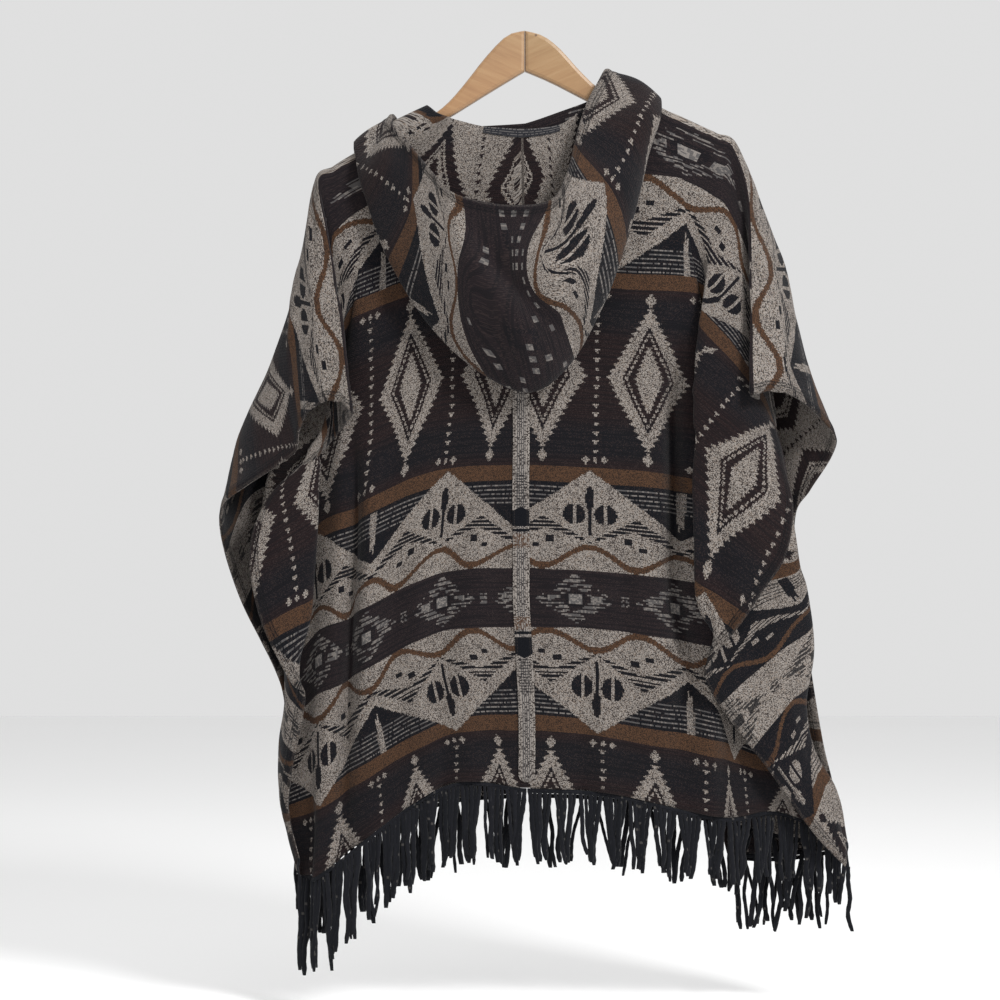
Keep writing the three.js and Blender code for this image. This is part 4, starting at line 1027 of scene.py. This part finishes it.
LIGHT_YARN, LIGHT_SPECK = wool(166, 158, 151), wool(70, 63, 60)
MAROON, CHARCOAL, NAVY = wool(38, 27, 28), wool(25, 24, 29), wool(15, 17, 24)
BROWN, BROWN_SPECK = wool(92, 66, 48), wool(44, 34, 29)
GREY_YARN = wool(104, 101, 100)


# The repeat, in millimetres: a yarn and a row of the weave, and where its parts end
YARN, ROW = 1.7, 1.45
BAND, BROWN_END, REPEAT = 29.0, 135.5, 227.0


def jacquard(name, reverse, hood=False):
    """The woven repeat, charted as distances from its two mirror lines: q runs from
    the middle of the dark dashed band (0) to the middle of the diamonds (227)."""
    m = Paint(name, 0.95, sheen=0.07, sheen_roughness=0.5, specular=0.12)
    u0, p0 = m.flat()
    flat = m.point(u0, p0)
    sway = m.noise(flat, 0.011, 1.0) - 0.5
    p1 = p0 + sway * 5.0
    u1 = u0 + (m.noise(m.point(p0, u0), 0.017, 1.0) - 0.5) * 4.0
    u, p = u1.steps(YARN), p1.steps(ROW)
    q = p.fold(REPEAT)
    cell = m.chance(m.point(u, p))                              # one number per yarn crossing
    # hills with their flower, mirrored about 72, valleys 94 away
    h = (u - 72.0).fold(94.0)
    rise = h.axpy(-0.69, 133.0)
    in_band = q < BAND
    in_hills = (q > BAND) & (q < rise)
    top = (h - 47.0).abs().axpy(-0.6, 85.0)
    low = (h - 44.0).abs().axpy(-0.34, 71.0)
    wedge = (q < top) & (q > low)
    bars = wedge & (p.mod(3 * ROW) > 1.45)
    eye_h, eye_q = (h - 15.6) / 11.2, (q - 87.5) / 11.2
    eyes = ((eye_h * eye_h + eye_q * eye_q) < 1.0).less((h - 15.6).abs() < 1.7)
    fl_h, fl_q = h / 4.4, (q - 104.5) / 12.5
    flame = ((fl_h * fl_h + fl_q * fl_q) < 1.0) | ((h < 1.7) & (q > 63.0) & (q < 96.0))
    dots = (((h - 39.0).abs() < 4.2) & ((q - 60.5).abs() < 2.7)) | (
        ((h - 54.0).abs() < 4.0) & ((q - 53.5).abs() < 2.6))
    k = h.fold(47.0)
    wave_line = (k * (math.pi / 47.0)).op("COSINE") * 10.0 + 42.0
    wave = (q - wave_line).abs() < 3.1
    hill_dark = (bars | eyes | flame | dots) & in_hills
    # brown band and thin lines between the hills
    brown_band = ((q > 120.0) & (q < BROWN_END)).less(in_hills)
    lines = ((q > 94.0) & (q < 119.0) & (p.mod(3 * ROW) < 1.4) & (cell > 0.12)).less(in_hills)
    taper = ((q - 74.0) * 0.055).op("MINIMUM", 1.6)
    valley = ((h - 92.5).abs().axpy(0.55, 0.0) < taper) & (q > 76.0) & (q < 119.0)
    # diamonds and the columns of triangles between them
    d = (q * -1.0) + REPEAT
    b = (u - 25.0).fold(52.5)
    tooth = p1.fold(3.3)
    outside = b < (d.axpy(-0.545, 38.5) + tooth * 1.5)
    inside = ((b / 26.0) + (d / 56.0)) < 1.0
    inner = b / 26.0 + d / 56.0
    core = (b < (d.axpy(-0.36, 12.2) + p1.fold(2.4) * 1.1)) & (d < 34.0)
    stitches = (inner > 0.80) & (inner < 0.90) & (p.mod(4 * ROW) < 3.0)
    tulip = ((b / 5.4) + ((d - 80.5).abs() / 7.5)) < 1.0
    ring = (outside.less(inside) & (d < 72.0)) | tulip | core | stitches
    c = (b * -1.0) + 52.5
    t = (p + 3.0).mod(9.2)
    column = (c < t.axpy(-0.62, 3.1)) & (t < 4.4) & (d < 80.0)
    cluster = (((c - 9.5).abs() / 3.6 + (d - 83.5).abs() / 4.4) < 1.0) | (
        (c / 2.8 + (d - 84.0).abs() / 3.4) < 1.0)
    in_diamonds = q > BROWN_END
    diamond_light = (ring | column | cluster) & in_diamonds
    # dashes and small squares of the dark band
    e = (u - 57.0).fold(50.5)
    square = (e < 6.4) & (q < 4.6)
    frame_ = ((e < 10.5) & (q < 8.8)).less(square)
    run = m.chance(m.point((u0 + p * 2.3).steps(4 * YARN), p))           # one number per long dash
    slope = (e / 38.0) + (q / 24.0)
    dash = (slope > 0.5) & (slope < 1.05) & (p.mod(3 * ROW) < 1.5) & (run > 0.38)
    arrow = (e > 15.0) & (e < 28.0) & (q < 4.5) & (p.mod(2 * ROW) < 1.5) & (run > 0.3)
    bead = (e > 46.0) & (q < 5.0) & (p.mod(3 * ROW) < 2.9) & (cell > 0.2)
    band_light = (square | dash | arrow | bead) & in_band
    if hood:                                                        # small scattered blocks only
        block = m.chance(m.point(u.steps(8 * YARN), p.steps(7 * ROW)))
        band_light = (block > 0.56) & (u.mod(8 * YARN) < 6.0) & (p.mod(7 * ROW) < 3.0) & (q < 22.0)
        square = square * 0.0
    light = in_hills.less(hill_dark) | diamond_light | valley
    brown = brown_band | (wave & in_hills)
    grey = lines | band_light
    if reverse:
        light = (light * -1.0) + 1.0
    # yarns: the pale one is marled, the dark ones run in long soft stripes
    speck = m.chance(m.point((u0 + p0 * 0.35).steps(0.74), p0.steps(0.66)))
    cloudy = m.noise(flat, 0.035, 2.0)
    pale = m.mix((speck + cloudy * 0.5) < 0.64, LIGHT_YARN, LIGHT_SPECK)
    pale = m.mix((speck > 0.86) & (cloudy * 0.9 + 0.1), pale, wool(134, 114, 96))
    stripe = m.noise(m.point(u0 * 0.016, p0 * 0.42), 1.0, 2.0)
    field = m.ramp(d / 92.0, [(0.0, MAROON), (0.42, MAROON), (0.6, CHARCOAL), (0.84, CHARCOAL),
                              (0.95, MAROON), (1.0, MAROON)])
    field = m.mix(((q < 135.0) & (q > BAND)), field, NAVY)
    field = m.mix(in_band, field, wool(37, 30, 33))
    field = m.mix((frame_ & in_band) * 0.7, field, wool(24, 22, 27))
    ribs = (p0.mod(4.3) < 1.2) | (stripe > 0.56)
    field = m.mix(ribs * 0.5, field, wool(20, 19, 23))
    field = m.mix(((speck > 0.80) & (stripe < 0.56)) * 0.5, field, wool(66, 54, 52))
    tan = m.mix((speck < 0.42) * 0.8, BROWN, BROWN_SPECK)
    colour = m.mix(light, field, pale)
    if not reverse:
        thin = m.mix((cell < 0.4) * 0.6, GREY_YARN, LIGHT_YARN)
        colour = m.mix((lines * 0.8) | (square & in_band) | (band_light * 0.78), colour, thin)
    else:
        colour = m.mix(grey * 0.85, colour, NAVY)
    colour = m.mix(brown, colour, tan)
    # the hem, turned in and double stitched. The band along it is darkened: partly the dark turned edge of the
    # cloth, partly painted shade along the rolled hem and under it.
    edge = m.number("edge")
    colour = m.mix((edge < 10.5) * 0.28, colour, wool(16, 16, 20))
    stitch = ((edge - 9.2).abs() < 0.6) | ((edge - 6.0).abs() < 0.6)
    thread = stitch & ((p0 + u0).mod(3.4) < 2.5)
    colour = m.mix(thread * 0.75, colour, wool(15, 15, 19))
    # relief: twill ribs, the thicker pale yarn, nap, and the pull of the stitches
    twill = ((u0 * 1.0 + p0 * 1.25) * (2 * math.pi / 2.6)).sin()
    rib = (p0 * (2 * math.pi / 2.15)).sin()
    nap = m.noise(flat, 0.55, 3.0, 0.65)
    height = twill * 0.16 + rib * 0.12 + nap * 0.9 + speck * 0.25 + light * 0.2 - stitch * 0.9
    m.bump(height, 0.00085, 0.75)
    # a painted highlight: the colour is lifted a little along the very edge of the hems, in specks where the
    # nap is high
    painted_edge_highlight = (edge < 2.2) & (nap > 0.5)
    return m.base(m.mix(painted_edge_highlight * 0.35, colour, wool(92, 84, 78)))


def strip_cloth():
    m = Paint("strip_weave", 0.95, sheen=0.07, specular=0.12)
    w, v = m.flat()
    flat = m.point(w, v)
    speck = m.chance(m.point(w.steps(1.1), v.steps(1.05)))
    side = w.abs()
    pale = m.mix(speck < 0.34, LIGHT_YARN, LIGHT_SPECK)
    cords = (side < 4.6) & (w.mod(2.1) < 1.15)
    grey = m.mix((speck < 0.55) * 0.7, GREY_YARN, wool(60, 58, 62))
    colour = m.mix(cords * 0.85, pale, grey)
    # where the strip crosses the woven bands: a navy lozenge, its thin lines, brown below
    q = (v - 495.0 + 14.0).abs()
    lozenge = (q > 56.0) & (q < side.axpy(-0.55, 78.0))
    rungs = (q > 78.0) & (q < 112.0) & (v.mod(2.9) < 1.3) & (side < 6.0)
    foot = (q > 50.0) & (q < 53.0)
    colour = m.mix(rungs * 0.65, colour, NAVY)
    colour = m.mix(lozenge | foot, colour, NAVY)
    warm = (q > 34.0) & (q < 48.0) & (speck < 0.6)
    colour = m.mix(warm * 0.75, colour, BROWN)
    edge = m.number("edge")
    stitch = (edge - 1.7).abs() < 0.4
    colour = m.mix((stitch & (v.mod(3.2) < 2.3)) * 0.55, colour, wool(58, 52, 50))
    nap = m.noise(flat, 0.6, 3.0, 0.65)
    rib = (v * (2 * math.pi / 2.1)).sin()
    m.bump(rib * 0.15 + nap * 0.9 + speck * 0.3 - stitch * 0.8 - cords * 0.2, 0.0008, 0.75)
    return m.base(colour)


def tape_cloth():
    m = Paint("neck_tape_weave", 0.85, sheen=0.1, specular=0.25)
    run, w = m.flat()
    warp = w.mod(3.3) < 1.2
    cell = m.chance(m.point(run.steps(1.4), w.steps(1.1)))
    colour = m.mix(warp & (cell > 0.25), wool(34, 35, 42), GREY_YARN)
    rib = (run * (2 * math.pi / 1.8)).sin()
    m.bump(rib * 0.3 + m.noise(m.point(run, w), 0.9, 2.0), 0.0004, 0.6)
    return m.base(colour)


def yarn():
    m = Paint("fringe_yarn", 0.92, sheen=0.07, specular=0.15)
    around, run = m.flat()
    flat = m.point(around, run)
    hair = m.noise(m.point(around * 0.8, run * 0.12), 1.0, 3.0, 0.7)
    strand = (around / 20.0).op("FLOOR")
    own = m.chance(m.point(strand, 3.0))
    colour = m.mix(own, wool(17, 19, 25), wool(28, 29, 35))
    colour = m.mix((hair > 0.63) * 0.6, colour, wool(56, 55, 58))
    fleck = m.chance(m.point((around * 0.5).steps(1.0), run.steps(2.4)))
    colour = m.mix((fleck > 0.985) * 0.6, colour, wool(96, 92, 88))
    ply = (around * (4 * math.pi / 10.0) + run * 0.55).sin()
    m.bump(ply * 0.35 + hair * 1.2, 0.0005, 0.6)
    return m.base(colour)


def wood(name, tint, lean):
    """Beech: long grain along the arm, short dark flecks, satin lacquer, and painted shade that warms the
    colour lower down.
    """
    m = Paint(name, 0.42, specular=0.45)
    m.shader.inputs["Coat Weight"].default_value = 0.25
    m.shader.inputs["Coat Roughness"].default_value = 0.3
    part = m.tree.nodes.new("ShaderNodeSeparateXYZ")
    m.tree.links.new(m.place(), part.inputs[0])
    x, y, z = (m.num(part.outputs[i]) * 1000 for i in range(3))
    along = x * math.cos(lean) - z * math.sin(lean)
    across = x * math.sin(lean) + z * math.cos(lean)
    grain = m.noise(m.point(along * 0.012, across * 0.16, y * 0.12), 1.0, 4.0, 0.6, 0.6)
    fine = m.noise(m.point(along * 0.06, across * 1.1, y * 0.8), 1.0, 3.0, 0.6)
    fleck = m.noise(m.point(along * 0.16, across * 1.6, y * 1.4), 1.0, 1.0)
    colour = m.ramp(grain, [(0.3, tint[0]), (0.5, tint[1]), (0.72, tint[2])])
    colour = m.mix((fine - 0.5).op("MULTIPLY", 1.3, clamp=True), colour, tint[2])
    colour = m.mix((fleck > 0.70) * 0.35, colour, linear(150, 108, 72))
    # Painted shade: from just below the top of the hanger downwards, the wood is mixed towards a warmer orange,
    # up to 22 per cent, so the top stays paler.
    shade = z.axpy(-0.004, -0.05).op("MAXIMUM", 0.0).op("MINIMUM", 0.22)
    colour = m.mix(shade, colour, linear(168, 118, 74))
    pip = ((x - 11.0) * (x - 11.0) + (z + 5.0) * (z + 5.0)) < 1.6
    colour = m.mix(pip * 0.8, colour, linear(72, 52, 38))
    m.bump(fine * 0.5 + grain * 0.5, 0.0003, 0.35)
    return m.base(colour)


def ground():
    m = Paint("floor_paint", 0.7, specular=0.25)
    spot = m.noise(m.place(), 1.3, 3.0)
    colour = m.mix(spot * 0.25, linear(244, 244, 244), linear(232, 232, 232))
    m.bump(m.noise(m.place(), 60.0, 2.0), 0.0003, 0.2)
    return m.base(colour)


face, reverse = jacquard("jacquard_face", False), jacquard("jacquard_reverse", True)
hood_face = jacquard("jacquard_hood", False, True)
strip_paint, tape_paint, yarn_paint = strip_cloth(), tape_cloth(), yarn()
for piece in (panel_right, panel_left, hood):
    piece.data.materials.append(hood_face if piece is hood else face)
    piece.data.materials.append(reverse)
for piece, paint in ((back_strip, strip_paint), (neck_tape, tape_paint)):
    piece.data.materials.append(paint)
    piece.data.materials.append(paint)
for piece in fringes:
    piece.data.materials.append(yarn_paint)

for piece, node in ((panel_right, "panel_right"), (panel_left, "panel_left"), (hood, "hood"),
                    (back_strip, "back_strip"), (neck_tape, "neck_tape"),
                    (fringes[0], "fringe_back_right"), (fringes[1], "fringe_back_left"),
                    (fringes[2], "fringe_front_right"), (fringes[3], "fringe_front_left")):
    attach(piece, "root")
    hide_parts(node)

# Painted light and shade: both arms are the same beech, but the right arm's tints are darker and the left arm's
# lighter, to even out the key lamp that lights the right arm more.
beech_right_painted_shade = wood("beech_right_painted_shade", (linear(150, 122, 88), linear(142, 113, 78), linear(130, 99, 66)), -0.42)
beech_left_painted_light = wood("beech_left_painted_light", (linear(157, 127, 92), linear(148, 116, 82), linear(135, 103, 72)), 0.42)
for name, paint in (("hanger_right", beech_right_painted_shade), ("hanger_left", beech_left_painted_light)):
    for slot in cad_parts[name].material_slots:
        slot.material = paint

# ------------------------------------------------------------------ studio
bpy.ops.mesh.primitive_plane_add(size=7, location=(0, 0.6, -0.985))
floor = bpy.context.object
floor.name = "studio_floor"
floor.data.materials.append(ground())

scene = bpy.context.scene
scene.view_settings.view_transform = "Standard"
scene.view_settings.exposure = 0.66
world = bpy.data.worlds.new("studio_air")
world.use_nodes = True
world.node_tree.nodes["Background"].inputs[0].default_value = (1, 1, 1, 1)
world.node_tree.nodes["Background"].inputs[1].default_value = 0.47
scene.world = world


def area_light(name, place, target, size, energy, colour=(1, 1, 1)):
    data = bpy.data.lights.new(name, "AREA")
    data.shape, data.size, data.energy, data.color = "DISK", size, energy, colour
    obj = bpy.data.objects.new(name, data)
    obj.location = place
    obj.rotation_euler = (Vector(target) - Vector(place)).to_track_quat("-Z", "Y").to_euler()
    scene.collection.objects.link(obj)


area_light("key", (1.35, -1.9, 1.1), (0, 0, -0.45), 0.7, 40)
area_light("fill", (-1.5, -2.6, 0.0), (0, 0, -0.5), 1.4, 4)
area_light("top", (0.2, 0.3, 1.5), (0, 0, -0.3), 1.2, 10)

camera = bpy.data.cameras.new("camera")
camera.lens, camera.sensor_width = 108, 36
camera_object = bpy.data.objects.new("camera", camera)
camera_object.location = (-0.025, -3.02, -0.472)
camera_object.rotation_euler = (math.pi / 2, 0, 0)
scene.collection.objects.link(camera_object)
scene.camera = camera_object

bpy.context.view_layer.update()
